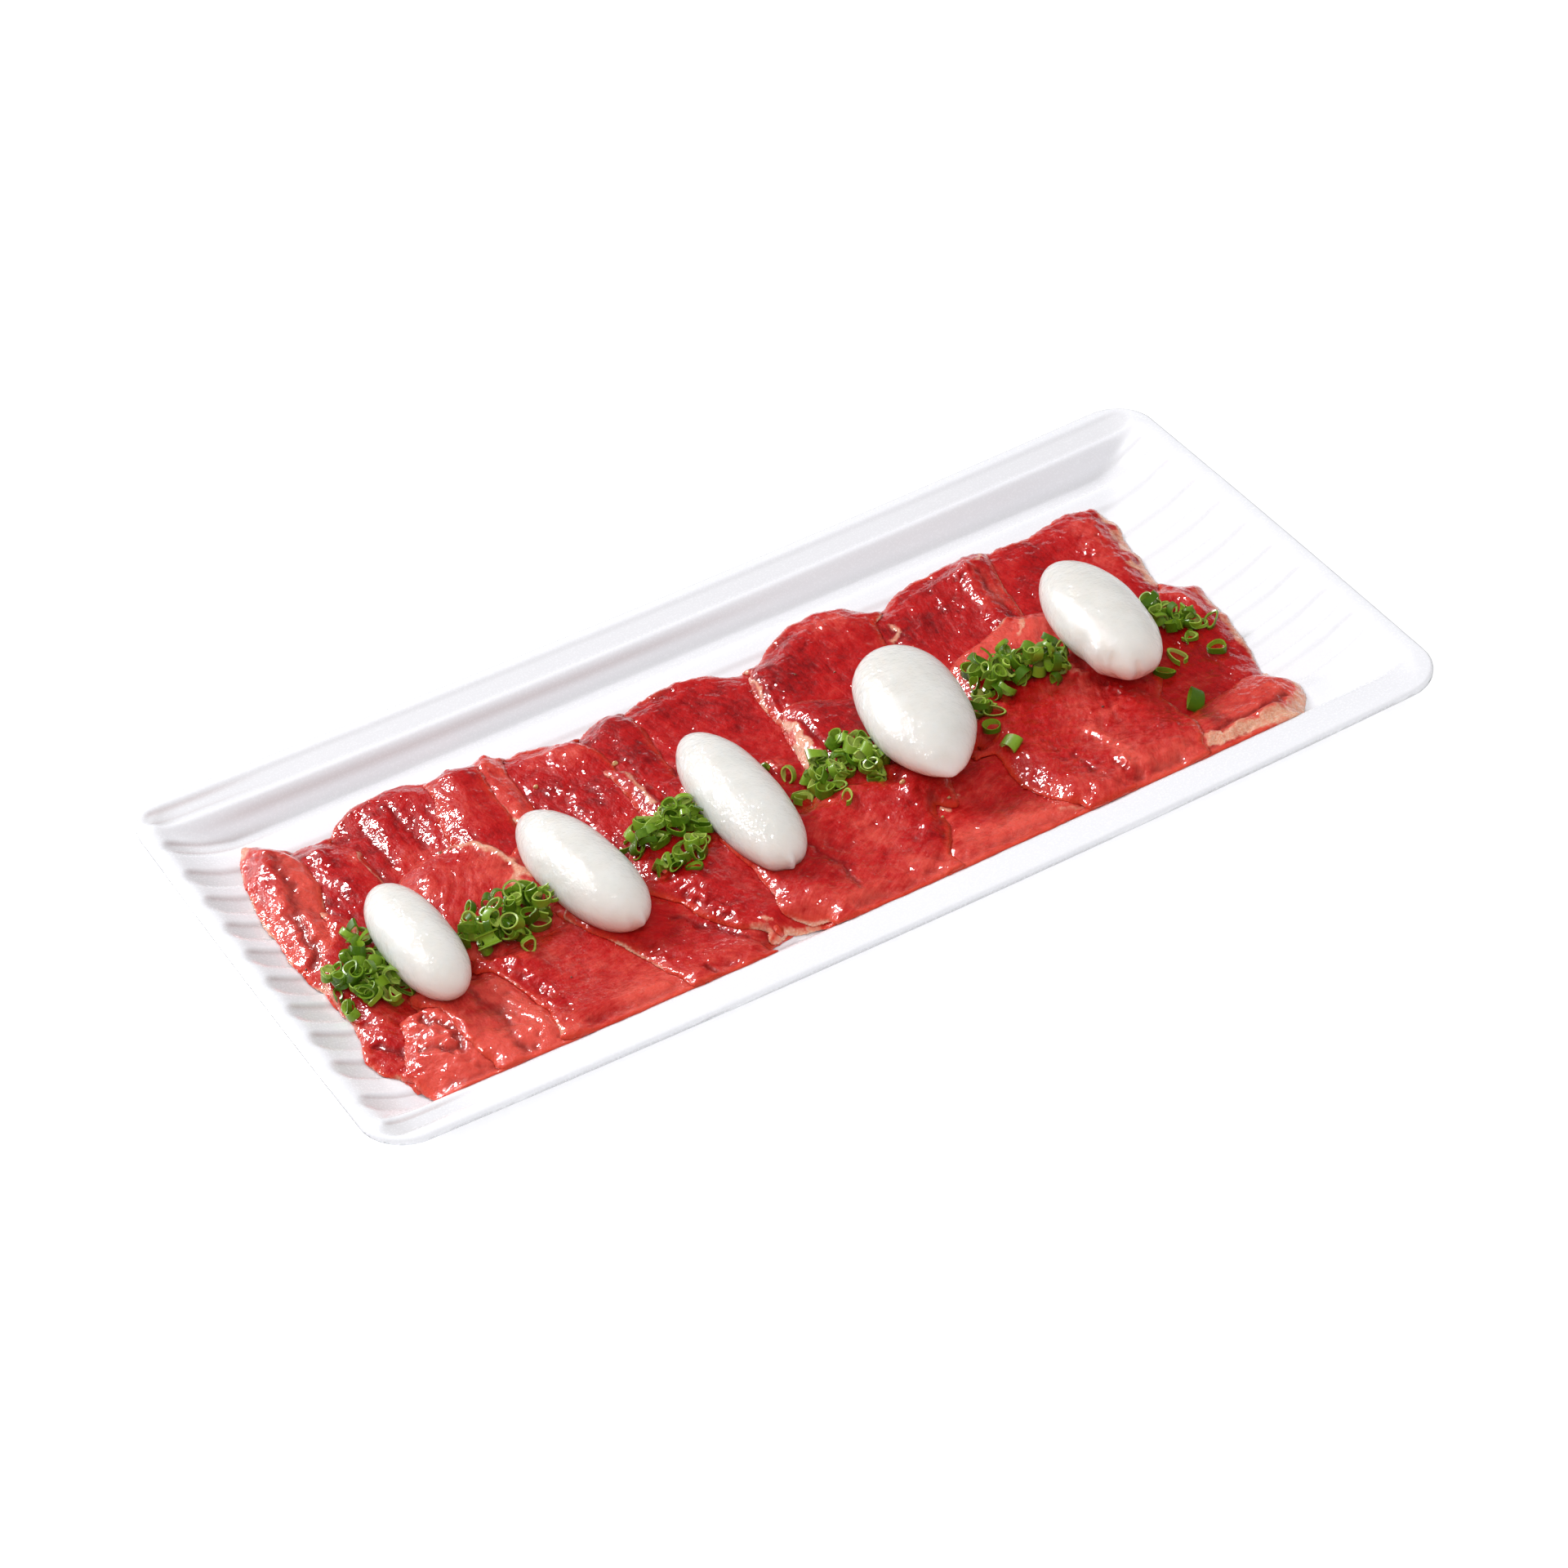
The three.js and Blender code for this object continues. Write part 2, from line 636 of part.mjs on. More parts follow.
function draped(slice, outline, highest) {
  const columns = DRAPE_X.length;
  const rows = DRAPE_Y.length;
  const rest = restingHeights(highest);
  let under = [...rest];
  for (let pass = 0; pass < DRAPE_PASSES; pass += 1) {
    under = under.map((height, node) => {
      const column = node % columns;
      const row = Math.floor(node / columns);
      if (column === 0 || row === 0 || column === columns - 1 || row === rows - 1) {
        return height;
      }
      const around = [under[node - 1], under[node + 1], under[node - columns], under[node + columns]];
      return Math.max(rest[node], around.reduce((sum, each) => sum + each, 0) / around.length);
    });
  }
  const insides = under.map((_, node) => insideShare(outline, ...nodePlace(node)));
  under = under.map((height, node) => height + ownRelief(slice, insides[node], ...nodePlace(node)));
  const top = under.map((height, node) => (
    height + THREE.MathUtils.lerp(EDGE_THICKNESS, slice.thickness, insides[node])
  ));
  return { under, top };
}

function prism(outline, bottom, top) {
  const geometry = new THREE.ExtrudeGeometry(new THREE.Shape(outline), {
    depth: top - bottom,
    bevelEnabled: false,
  });
  return toSolid(geometry.translate(0, 0, bottom));
}

function betweenHeights(outline, topHeights, bottomHeights) {
  const columns = outline.map((point) => cellAt(point)[0]);
  const rows = outline.map((point) => cellAt(point)[1]);
  const firstColumn = Math.min(...columns);
  const firstRow = Math.min(...rows);
  const xLines = DRAPE_X.slice(firstColumn, Math.max(...columns) + 2);
  const yLines = DRAPE_Y.slice(firstRow, Math.max(...rows) + 2);
  const at = (heights) => (column, row) => (
    heights[(row + firstRow) * DRAPE_X.length + column + firstColumn]
  );
  const block = toSolid(latticeBlock(xLines, yLines, at(topHeights), at(bottomHeights)));
  return block.intersect(prism(outline, BELOW_ALL, ABOVE_ALL));
}

function layAllSlices(highest) {
  const farBelow = highest.map(() => BELOW_ALL);
  return SLICES.map((slice, index) => {
    const outline = smoothOutline(slice.outline, seededDraw(index + 1));
    const { under, top } = draped(slice, outline, highest);
    for (const node of nodesUnder(outline)) {
      highest[node] = Math.max(highest[node], top[node]);
    }
    const solid = betweenHeights(outline, top, under);
    const raisedTop = top.map((height) => height + CONTACT_GAP);
    return { ...slice, solid, column: betweenHeights(outline, raisedTop, farBelow) };
  });
}

// Ovals: centre, size, heading of the end that faces the front, and how much narrower that end and
// the back one are than the middle

const OVALS = [
  { centre: [-111, -14.8], size: [44, 18, 15], heading: -91, frontTaper: 0.02, backTaper: 0.12 },
  { centre: [-64.3, -13.7], size: [50.5, 20.6, 16], heading: -85, frontTaper: 0, backTaper: 0.16 },
  { centre: [-20.6, -11.9], size: [56, 20.6, 16], heading: -92, frontTaper: 0.02, backTaper: 0.12 },
  { centre: [30.4, -12.6], size: [53, 27.4, 17], heading: -102, frontTaper: 0.36, backTaper: -0.02 },
  { centre: [87.9, -7.3], size: [49.5, 23.4, 17], heading: -95, frontTaper: 0.08, backTaper: 0.18 },
];

function ovalGeometry({ size, heading, frontTaper, backTaper }, growth) {
  const [length, width, height] = size.map((each) => each / 2 + growth);
  const geometry = new THREE.SphereGeometry(1, OVAL_SIDES, OVAL_RINGS).rotateZ(-Math.PI / 2);
  const places = geometry.attributes.position;
  for (let index = 0; index < places.count; index += 1) {
    const round = places.getX(index);
    const along = Math.sign(round) * Math.abs(round) ** OVAL_BLUNTNESS;
    const narrowing = 1 - (along > 0 ? frontTaper : backTaper) * along ** 2;
    places.setXYZ(
      index,
      length * along,
      width * narrowing * places.getY(index),
      height * narrowing * places.getZ(index),
    );
  }
  return geometry.rotateZ(degrees(heading));
}

// The highest place of the ground under a round spot

function heightUnder(ground, [x, y], radius, sides) {
  const spot = new THREE.CylinderGeometry(radius, radius, ABOVE_ALL - BELOW_ALL, sides);
  spot.rotateX(Math.PI / 2).translate(x, y, (ABOVE_ALL + BELOW_ALL) / 2);
  return ground.intersect(toSolid(spot)).boundingBox().max[2];
}

function layOval(oval, ground) {
  const [x, y] = oval.centre;
  const bed = heightUnder(ground, oval.centre, oval.size[1] / 4, OVAL_PROBE_SIDES);
  const middle = bed - OVAL_SINK + oval.size[2] / 2;
  const placed = (growth) => toSolid(ovalGeometry(oval, growth).translate(x, y, middle));
  return { solid: largestPiece(placed(0).subtract(ground)), grown: placed(CONTACT_GAP) };
}

// Chives: each heap is a low core with cut rings on it. A heap has its centre, its length and width,
// the height of its core, and the number of rings on it.

const HEAPS = [
  { centre: [-124.6, -15], size: [18, 19], rise: 3.2, rings: 6, heading: 0 },
  { centre: [-87.9, -19.2], size: [29, 18], rise: 3.4, rings: 8, heading: 0 },
  { centre: [-42.5, -17], size: [20, 18], rise: 3.2, rings: 6, heading: 8 },
  { centre: [5.6, -15.8], size: [27, 16], rise: 3.2, rings: 7, heading: 0 },
  { centre: [64.3, -12], size: [28, 16], rise: 3.4, rings: 8, heading: 8 },
  { centre: [106.8, -14.6], size: [15, 16], rise: 3, rings: 5, heading: 0 },
];

// Single rings that lie on a slice

const LOOSE_RINGS = [
  { slice: 'beef_slice_16_right_end', place: [112.6, -24.2], length: 1.6, tilt: 8 },
  { slice: 'beef_slice_16_right_end', place: [97, -23.3], length: 1.6, tilt: 10 },
  { slice: 'beef_slice_16_right_end', place: [96.5, -38], length: 4, tilt: 60 },
  { slice: 'beef_slice_25_front_right', place: [47.7, -18], length: 1.8, tilt: 12 },
  { slice: 'beef_slice_25_front_right', place: [48.5, -27], length: 3.6, tilt: 70 },
];

function chiveRing(length, tilt, turn) {
  const inner = CHIVE_OUTER_RADIUS - CHIVE_WALL;
  const half = length / 2;
  const profile = [
    [inner, -half], [CHIVE_OUTER_RADIUS, -half], [CHIVE_OUTER_RADIUS, half], [inner, half], [inner, -half],
  ].map(([radius, height]) => new THREE.Vector2(radius, height));
  const ring = new THREE.LatheGeometry(profile, CHIVE_SIDES).rotateX(Math.PI / 2);
  return ring.rotateX(degrees(tilt)).rotateZ(turn);
}

function ringBed(ground, place) {
  return heightUnder(ground, place, CHIVE_OUTER_RADIUS / 2, RING_PROBE_SIDES);
}

function heapCore(heap, highest) {
  const centre = new THREE.Vector2(...heap.centre);
  const [halfLength, halfWidth] = heap.size.map((each) => each / 2);
  const heading = degrees(heap.heading);
  const outline = new THREE.EllipseCurve(
    ...heap.centre, halfLength, halfWidth, 0, 2 * Math.PI, false, heading,
  );
  const under = restingHeights(highest);
  const top = under.map((height, node) => {
    const place = new THREE.Vector2(...nodePlace(node)).rotateAround(centre, -heading).sub(centre);
    const out = Math.hypot(place.x / halfLength, place.y / halfWidth);
    return height + HEAP_EDGE + heap.rise * Math.max(0, 1 - out ** 2);
  });
  return betweenHeights(outline.getPoints(HEAP_OUTLINE_POINTS).slice(1), top, under);
}

function layHeap(heap, highest, ground, ovals, draw) {
  const centre = new THREE.Vector2(...heap.centre);
  let solid = heapCore(heap, highest);
  const coreAndGround = solid.add(ground);
  for (let index = 0; index < heap.rings; index += 1) {
    const out = Math.sqrt((index + 0.5) / heap.rings);
    const angle = index * GOLDEN_ANGLE + draw();
    const place = new THREE.Vector2(Math.cos(angle), Math.sin(angle)).multiplyScalar(out / 2);
    place.multiply(new THREE.Vector2(...heap.size)).add(centre).rotateAround(centre, degrees(heap.heading));
    const length = THREE.MathUtils.lerp(...HEAP_RING_LENGTHS, draw());
    const ring = chiveRing(length, HEAP_RING_TILT * draw(), 2 * Math.PI * draw());
    const bed = ringBed(coreAndGround, place.toArray());
    ring.computeBoundingBox();
    ring.translate(place.x, place.y, bed - ring.boundingBox.min.z - RING_SINK);
    solid = solid.add(toSolid(ring));
  }
  solid = solid.subtract(ground);
  ovals.forEach((oval) => {
    solid = solid.subtract(oval.grown);
  });
  return largestPiece(solid);
}

function withLooseRings(slices, ground) {
  return slices.map((slice) => {
    let { solid } = slice;
    LOOSE_RINGS.filter((ring) => ring.slice === slice.name).forEach((ring, order) => {
      const [x, y] = ring.place;
      const geometry = chiveRing(ring.length, ring.tilt, order);
      geometry.computeBoundingBox();
      const bed = ringBed(ground, ring.place) - CONTACT_GAP;
      solid = solid.add(toSolid(geometry.translate(x, y, bed - geometry.boundingBox.min.z - RING_SINK)));
    });
    return { ...slice, solid };
  });
}

// The whole plate

function meshOf(name, solid, colour, roughness) {
  const material = new THREE.MeshStandardMaterial({ color: colour, roughness, metalness: 0 });
  const mesh = new THREE.Mesh(toGeometry(solid), material);
  mesh.name = name;
  return mesh;
}

const highest = new Array(DRAPE_X.length * DRAPE_Y.length).fill(0);
const plate = plateSolid();
const slices = layAllSlices(highest);
const ground = slices.reduce((sum, slice) => sum.add(slice.column), plate.translate([0, 0, CONTACT_GAP]));
const ovals = OVALS.map((oval) => layOval(oval, ground));
const heaps = HEAPS.map((heap, index) => (
  layHeap(heap, highest, ground, ovals, seededDraw(100 + index))
));

const group = new THREE.Group();
group.add(meshOf('plate', plate, 0xf6f5f8, 0.18));
withLooseRings(slices, ground).forEach(({ name, solid, colour }) => {
  group.add(meshOf(name, solid, colour, 0.35));
});
ovals.forEach(({ solid }, index) => {
  group.add(meshOf(`white_oval_${index + 1}`, solid, 0xeeece6, 0.3));
});
heaps.forEach((solid, index) => {
  group.add(meshOf(`chive_heap_${index + 1}`, solid, 0x5d8f1f, 0.5));
});

export default group;
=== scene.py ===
import math

import bmesh
import bpy
import numpy as np
from mathutils import Matrix, Vector
from mathutils.bvhtree import BVHTree


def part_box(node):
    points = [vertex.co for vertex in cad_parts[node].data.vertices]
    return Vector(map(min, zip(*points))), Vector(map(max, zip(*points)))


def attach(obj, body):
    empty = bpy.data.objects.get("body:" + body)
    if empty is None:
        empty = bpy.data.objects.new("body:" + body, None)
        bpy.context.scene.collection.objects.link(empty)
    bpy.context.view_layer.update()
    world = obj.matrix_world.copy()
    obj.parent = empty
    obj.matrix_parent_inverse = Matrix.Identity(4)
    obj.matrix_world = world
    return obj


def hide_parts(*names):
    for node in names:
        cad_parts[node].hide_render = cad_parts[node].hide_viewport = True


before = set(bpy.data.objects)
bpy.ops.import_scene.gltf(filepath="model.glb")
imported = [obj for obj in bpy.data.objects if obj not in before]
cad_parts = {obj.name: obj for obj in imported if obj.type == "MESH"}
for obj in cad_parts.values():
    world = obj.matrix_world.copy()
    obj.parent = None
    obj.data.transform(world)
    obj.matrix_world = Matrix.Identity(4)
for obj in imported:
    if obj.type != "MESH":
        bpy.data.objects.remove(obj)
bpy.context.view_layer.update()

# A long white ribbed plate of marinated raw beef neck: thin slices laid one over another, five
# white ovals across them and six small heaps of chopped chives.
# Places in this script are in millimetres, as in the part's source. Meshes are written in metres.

MM = 0.001

# Plate
PLATE_HALF_LENGTH = 150
PLATE_HALF_WIDTH = 73.35
CORNER_RADIUS = 11.9
END_BOW = 0.5
SIDE_BOW = 0.27
FLOOR_HEIGHT = 8
RIM_HEIGHT = 16
RIM_RISE = 2.66
LIP_ROUNDING = 1.0
GROOVE_LINES = (5.85, 17.55, 29.25, 40.95, 54.6, 66.3)
GROOVE_HALF_WIDTHS = (3.7, 3.7, 3.7, 3.7, 3.0, 3.1)
GROOVE_DEPTH = 0.6
GROOVE_WALL = 1.8
GROOVE_END = 147.2
GROOVE_RUN_OUT = 3
SMOOTH_FRONT_FROM = -124
SIDE_PROFILE = (
    (0, 8), (38, 8), (49.5, 10.5), (57, 9.9), (61.4, 14.4), (62.6, 14.9), (70, 16), (90, 16),
)
END_PROFILE = ((0, 8), (118, 8), (126.5, 9.6), (136, 11.9), (141, 13.9), (145.5, 16), (170, 16))
SIDE_SOFTENING = 0.9
END_SOFTENING = 1.6

# The plate's outside, from under the lip to inside the foot: half length, half width, corner
# radius, height, and how much of the rim's rise it follows
UNDERSIDE_RINGS = (
    (149.5, 73.08, 11.9, 15.0, 1),
    (149.4, 73.0, 11.8, 14.3, 1),
    (148.9, 72.4, 11.5, 13.8, 1),
    (147.5, 71, 11, 13.2, 1),
    (143.5, 69, 10.7, 11.9, 0.7),
    (136, 64.5, 10, 9.2, 0.3),
    (128.5, 59.2, 9.5, 6.5, 0),
    (122.5, 55, 9, 4.3, 0),
    (120.5, 53.4, 8.6, 2.4, 0),
    (119.4, 52.4, 8.2, 0.5, 0),
    (118.6, 51.6, 8, 0, 0),
    (115.4, 48.4, 7.2, 0, 0),
    (114.6, 47.6, 7, 0.5, 0),
    (114, 47, 7, 3.0, 0),
    (112, 45, 6.5, 3.4, 0),
)

# Common grid of the food
STEP = 0.45
GRID_X = np.arange(-142, 129, STEP)
GRID_Y = np.arange(-66, 56, STEP)
CONTACT = 0.06
WINDOW_MARGIN = 5


# Small helpers for grids of heights

def smooth_share(values, low, high):
    share = np.clip((values - low) / (high - low), 0, 1)
    return share * share * (3 - 2 * share)


# Smooth noise from -1 to 1, with its swells `size` apart
def noise(x, y, size, seed):
    cells = 64
    lattice = np.random.RandomState(seed).uniform(-1, 1, (cells, cells))
    across = x / size + 7.31 * seed
    along = y / size + 3.17 * seed
    column = np.floor(across).astype(int)
    row = np.floor(along).astype(int)
    right = smooth_share(across - column, 0, 1)
    up = smooth_share(along - row, 0, 1)

    def corner(by_column, by_row):
        return lattice[(row + by_row) % cells, (column + by_column) % cells]

    lower = corner(0, 0) * (1 - right) + corner(1, 0) * right
    upper = corner(0, 1) * (1 - right) + corner(1, 1) * right
    return lower * (1 - up) + upper * up


def running_mean(grid, reach, axis):
    ends = [(0, 0), (0, 0)]
    ends[axis] = (reach + 1, reach)
    total = np.cumsum(np.pad(grid, ends, mode="edge"), axis=axis)
    count = grid.shape[axis]
    width = 2 * reach + 1
    later = np.take(total, np.arange(width, width + count), axis=axis)
    earlier = np.take(total, np.arange(0, count), axis=axis)
    return (later - earlier) / width


# A soft average over about `spread` millimetres
def softened(grid, spread):
    reach = max(1, round(spread / STEP - 0.5))
    for _ in range(3):
        grid = running_mean(running_mean(grid, reach, 0), reach, 1)
    return grid


# How far each place is from a line through some points
def away_from(x, y, points):
    nearest = np.full(np.shape(x), np.inf)
    for (from_x, from_y), (to_x, to_y) in zip(points, points[1:] or points):
        run_x = to_x - from_x
        run_y = to_y - from_y
        length = max(run_x * run_x + run_y * run_y, 1e-9)
        share = np.clip(((x - from_x) * run_x + (y - from_y) * run_y) / length, 0, 1)
        distance = np.hypot(x - from_x - share * run_x, y - from_y - share * run_y)
        nearest = np.minimum(nearest, distance)
    return nearest


# The value of a grid between its lines, the grid's first lines being at `first_x` and `first_y`
def on_grid(grid, x, y, first_x=GRID_X[0], first_y=GRID_Y[0]):
    across = np.clip((x - first_x) / STEP, 0, grid.shape[1] - 1.001)
    along = np.clip((y - first_y) / STEP, 0, grid.shape[0] - 1.001)
    column = across.astype(int)
    row = along.astype(int)
    right = across - column
    up = along - row
    lower = grid[row, column] * (1 - right) + grid[row, column + 1] * right
    upper = grid[row + 1, column] * (1 - right) + grid[row + 1, column + 1] * right
    return lower * (1 - up) + upper * up


# Meshes

def vertex_places(mesh):
    places = np.empty(len(mesh.vertices) * 3)
    mesh.vertices.foreach_get("co", places)
    return places.reshape(-1, 3)


def set_vertex_places(mesh, places):
    mesh.vertices.foreach_set("co", np.ravel(places))
    mesh.update()


def set_values(mesh, name, values):
    layer = mesh.attributes.new(name, "FLOAT", "POINT")
    layer.data.foreach_set("value", np.ravel(values))


def finished_piece(name, kit, material, slot, *nodes):
    mesh = bpy.data.meshes.new(name)
    kit.to_mesh(mesh)
    kit.free()
    mesh.polygons.foreach_set("use_smooth", [True] * len(mesh.polygons))
    mesh.materials.append(material)
    piece = bpy.data.objects.new(name, mesh)
    bpy.context.scene.collection.objects.link(piece)
    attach(piece, "root")
    if nodes:
        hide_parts(*nodes)
    return piece


def new_verts(made):
    return [each for each in made["geom"] if isinstance(each, bmesh.types.BMVert)]


# Materials

class Finish:
    def __init__(self, name):
        self.material = bpy.data.materials.new(name)
        self.material.use_nodes = True
        self.tree = self.material.node_tree
        self.shader = self.tree.nodes["Principled BSDF"]
        self.places = self.add("ShaderNodeTexCoord").outputs["Object"]

    def add(self, kind, **settings):
        node = self.tree.nodes.new(kind)
        for key, value in settings.items():
            setattr(node, key, value)
        return node

    def fill(self, socket, value):
        if isinstance(value, bpy.types.NodeSocket):
            self.tree.links.new(value, socket)
        else:
            socket.default_value = value

    def set(self, **values):
        for key, value in values.items():
            self.fill(self.shader.inputs[key.replace("_", " ")], value)

    def noise(self, size, detail=3, roughness=0.55, places=None, kind="ShaderNodeTexNoise"):
        node = self.add(kind)
        node.inputs["Scale"].default_value = 1 / (size * MM)
        node.inputs["Detail"].default_value = detail
        node.inputs["Roughness"].default_value = roughness
        self.tree.links.new(places or self.places, node.inputs["Vector"])
        return node.outputs[0]

    def stretched(self, vector, factors):
        node = self.add("ShaderNodeVectorMath", operation="MULTIPLY")
        self.fill(node.inputs[0], vector)
        self.fill(node.inputs[1], factors)
        return node.outputs[0]

    def painted(self, name, output="Fac"):
        return self.add("ShaderNodeAttribute", attribute_name=name).outputs[output]

    def share(self, value, low, high, to_low=0, to_high=1):
        node = self.add("ShaderNodeMapRange", interpolation_type="SMOOTHSTEP")
        for socket, given in zip(node.inputs[:5], (value, low, high, to_low, to_high)):
            self.fill(socket, given)
        return node.outputs[0]

    def sum_of(self, operation, first, second, third=0):
        node = self.add("ShaderNodeMath", operation=operation)
        for socket, given in zip(node.inputs, (first, second, third)):
            self.fill(socket, given)
        return node.outputs[0]

    def mix(self, share, first, second, blend_type="MIX"):
        node = self.add("ShaderNodeMix", data_type="RGBA", blend_type=blend_type)
        self.fill(node.inputs["Factor"], share)
        self.fill(node.inputs[6], first)
        self.fill(node.inputs[7], second)
        return node.outputs[2]

    def bump(self, height, depth, below=None):
        node = self.add("ShaderNodeBump")
        node.inputs["Strength"].default_value = 1
        node.inputs["Distance"].default_value = depth * MM
        self.fill(node.inputs["Height"], height)
        if below is not None:
            self.fill(node.inputs["Normal"], below)
        return node.outputs[0]


def colour(red, green, blue):
    def linear(value):
        share = value / 255
        return share / 12.92 if share <= 0.04045 else ((share + 0.055) / 1.055) ** 2.4
    return (linear(red), linear(green), linear(blue), 1)


def plate_glaze():
    glaze = Finish("plate_glaze")
    cloud = glaze.noise(38, 2)
    specks = glaze.noise(0.55, 2)
    body = glaze.mix(cloud, colour(240, 240, 245), colour(243, 243, 247))
    # Painted shade: grey in the plate's grooves.
    body = glaze.mix(glaze.sum_of("MULTIPLY", glaze.painted("painted_groove_shade"), 0.32), body, colour(200, 197, 199))
    # Painted shade, pink with the beef's reflection, along the back edge of the grooves at the left end and
    # along the back wall.
    body = glaze.mix(glaze.sum_of("MULTIPLY", glaze.painted("streak"), 0.5), body, colour(186, 168, 168))
    fleck = glaze.share(specks, 0.76, 0.82)
    glaze.set(
        Base_Color=glaze.mix(fleck, body, colour(234, 234, 239)),
        Roughness=glaze.share(specks, 0.2, 0.8, 0.22, 0.3),
        Normal=glaze.bump(glaze.noise(5, 2), 0.02, glaze.bump(specks, 0.004)),
        Coat_Weight=0.5,
        Coat_Roughness=0.06,
    )
    return glaze.material


def raw_beef():
    beef = Finish("marinated_raw_beef")
    grain = beef.painted("grain", "Vector")
    fat = beef.painted("fat")
    tone = beef.painted("tone")
    painted_hollow_shade = beef.painted("painted_hollow_shade")
    thin = beef.painted("thin")

    fibres = beef.noise(1.0, 4, 0.6, grain)
    fine_fibres = beef.noise(0.45, 3, 0.6, grain)
    mottle = beef.noise(3.2, 4, 0.6)
    cloud = beef.noise(11, 3, 0.5)
    wet = beef.noise(1.3, 3, 0.5)
    grit = beef.noise(0.5, 3, 0.6)

    level = beef.sum_of("MULTIPLY_ADD", beef.sum_of("SUBTRACT", cloud, 0.5), 0.55, tone)
    level = beef.sum_of("MULTIPLY_ADD", beef.sum_of("SUBTRACT", mottle, 0.5), 0.8, level)
    level = beef.sum_of("MULTIPLY_ADD", beef.sum_of("SUBTRACT", fibres, 0.5), 0.5, level)
    level = beef.sum_of("MULTIPLY_ADD", beef.sum_of("SUBTRACT", fine_fibres, 0.5), 0.3, level)
    flesh = beef.mix(beef.share(level, 0.0, 0.5), colour(120, 3, 7), colour(182, 16, 18))
    flesh = beef.mix(beef.share(level, 0.42, 1.1), flesh, colour(220, 82, 69))
    streak = beef.share(beef.noise(1.5, 3, 0.65, grain), 0.66, 0.8, 0, 0.3)
    flesh = beef.mix(streak, flesh, colour(220, 110, 86))
    # Painted shade: near-black red in hollows, creases and shaded folds.
    flesh = beef.mix(beef.sum_of("MULTIPLY", painted_hollow_shade, 0.6), flesh, colour(84, 0, 2))
    # Painted glow of light through the thin edges: orange near each slice's outline.
    flesh = beef.mix(beef.sum_of("MULTIPLY", thin, 0.55), flesh, colour(216, 68, 36))

    fat_edge = beef.sum_of("MULTIPLY_ADD", beef.sum_of("SUBTRACT", mottle, 0.5), 0.8, fat)
    fat_edge = beef.sum_of("MULTIPLY_ADD", beef.sum_of("SUBTRACT", wet, 0.5), 0.6, fat_edge)
    cream = beef.mix(beef.share(grit, 0.35, 0.7), colour(220, 148, 120), colour(232, 190, 164))
    cream = beef.mix(beef.share(mottle, 0.45, 0.7, 0, 0.6), cream, colour(214, 108, 82))
    surface = beef.mix(beef.share(fat_edge, 0.25, 0.95), flesh, cream)

    relief = beef.bump(mottle, 0.5)
    relief = beef.bump(wet, 0.26, relief)
    relief = beef.bump(fibres, 0.12, relief)
    relief = beef.bump(grit, 0.05, relief)
    film = beef.bump(beef.noise(1.5, 2, 0.45), 0.34, beef.bump(beef.noise(3.8, 2, 0.45), 1.15))
    beef.set(
        Base_Color=surface,
        Roughness=beef.share(grit, 0.3, 0.7, 0.4, 0.55),
        Normal=relief,
        Subsurface_Weight=0.35,
        Subsurface_Radius=(1.0, 0.25, 0.15),
        Subsurface_Scale=1.6 * MM,
        Specular_IOR_Level=0.12,
        Coat_Weight=1.0,
        Coat_Roughness=0.03,
        Coat_Normal=film,
    )
    return beef.material


def white_oval_skin():
    skin = Finish("white_oval_skin")
    painted_beef_light = skin.painted("painted_beef_light")
    cloud = skin.noise(7, 3)
    pores = skin.noise(0.5, 3, 0.6)
    wrinkles = skin.noise(0.9, 2, 0.55)
    folds = skin.noise(2.2, 2, 0.5)
    body = skin.mix(skin.share(cloud, 0.3, 0.7), colour(214, 212, 207), colour(221, 219, 215))
    # Painted warm light from the beef beneath, on the ovals' lower front ends.
    tinted = skin.mix(skin.sum_of("MULTIPLY", painted_beef_light, 0.6), body, colour(238, 206, 188))
    skin.set(
        Base_Color=tinted,
        Roughness=skin.share(pores, 0.3, 0.7, 0.4, 0.5),
        Normal=skin.bump(folds, 0.12, skin.bump(pores, 0.03)),
        Subsurface_Weight=1.0,
        Subsurface_Radius=(1.0, 0.85, 0.75),
        Subsurface_Scale=12 * MM,
        Specular_IOR_Level=0.03,
        Coat_Weight=0.8,
        Coat_Roughness=0.04,
        Coat_Normal=skin.bump(wrinkles, 0.32, skin.bump(folds, 0.5)),
    )
    return skin.material


def chopped_chive():
    chive = Finish("chopped_chive")
    tint = chive.painted("tint")
    inside = chive.painted("inside")
    streaks = chive.noise(0.9, 4, 0.6)
    mottle = chive.noise(0.4, 3, 0.6)
    level = chive.sum_of("MULTIPLY_ADD", chive.sum_of("SUBTRACT", streaks, 0.5), 0.6, tint)
    leaf = chive.mix(chive.share(level, 0.1, 0.9), colour(46, 88, 2), colour(112, 152, 10))
    pale = chive.mix(chive.share(level, 0.2, 0.8), colour(134, 168, 42), colour(186, 204, 100))
    chive.set(
        Base_Color=chive.mix(inside, leaf, pale),
        Roughness=chive.share(mottle, 0.3, 0.7, 0.3, 0.45),
        Normal=chive.bump(streaks, 0.06, chive.bump(mottle, 0.02)),
        Specular_IOR_Level=0.3,
        Coat_Weight=0.35,
        Coat_Roughness=0.16,
    )
    return chive.material


def crumb_of_spice():
    crumb = Finish("crumb_of_spice")
    grain = crumb.noise(0.4, 3, 0.6)
    tint = crumb.painted("tint")
    light = crumb.mix(crumb.share(grain, 0.3, 0.7), colour(196, 140, 84), colour(228, 186, 128))
    dark = crumb.mix(crumb.share(grain, 0.3, 0.7), colour(60, 26, 16), colour(120, 66, 40))
    crumb.set(
        Base_Color=crumb.mix(tint, dark, light),
        Roughness=0.45,
        Normal=crumb.bump(grain, 0.08),
        Coat_Weight=0.6,
        Coat_Roughness=0.15,
    )
    return crumb.material


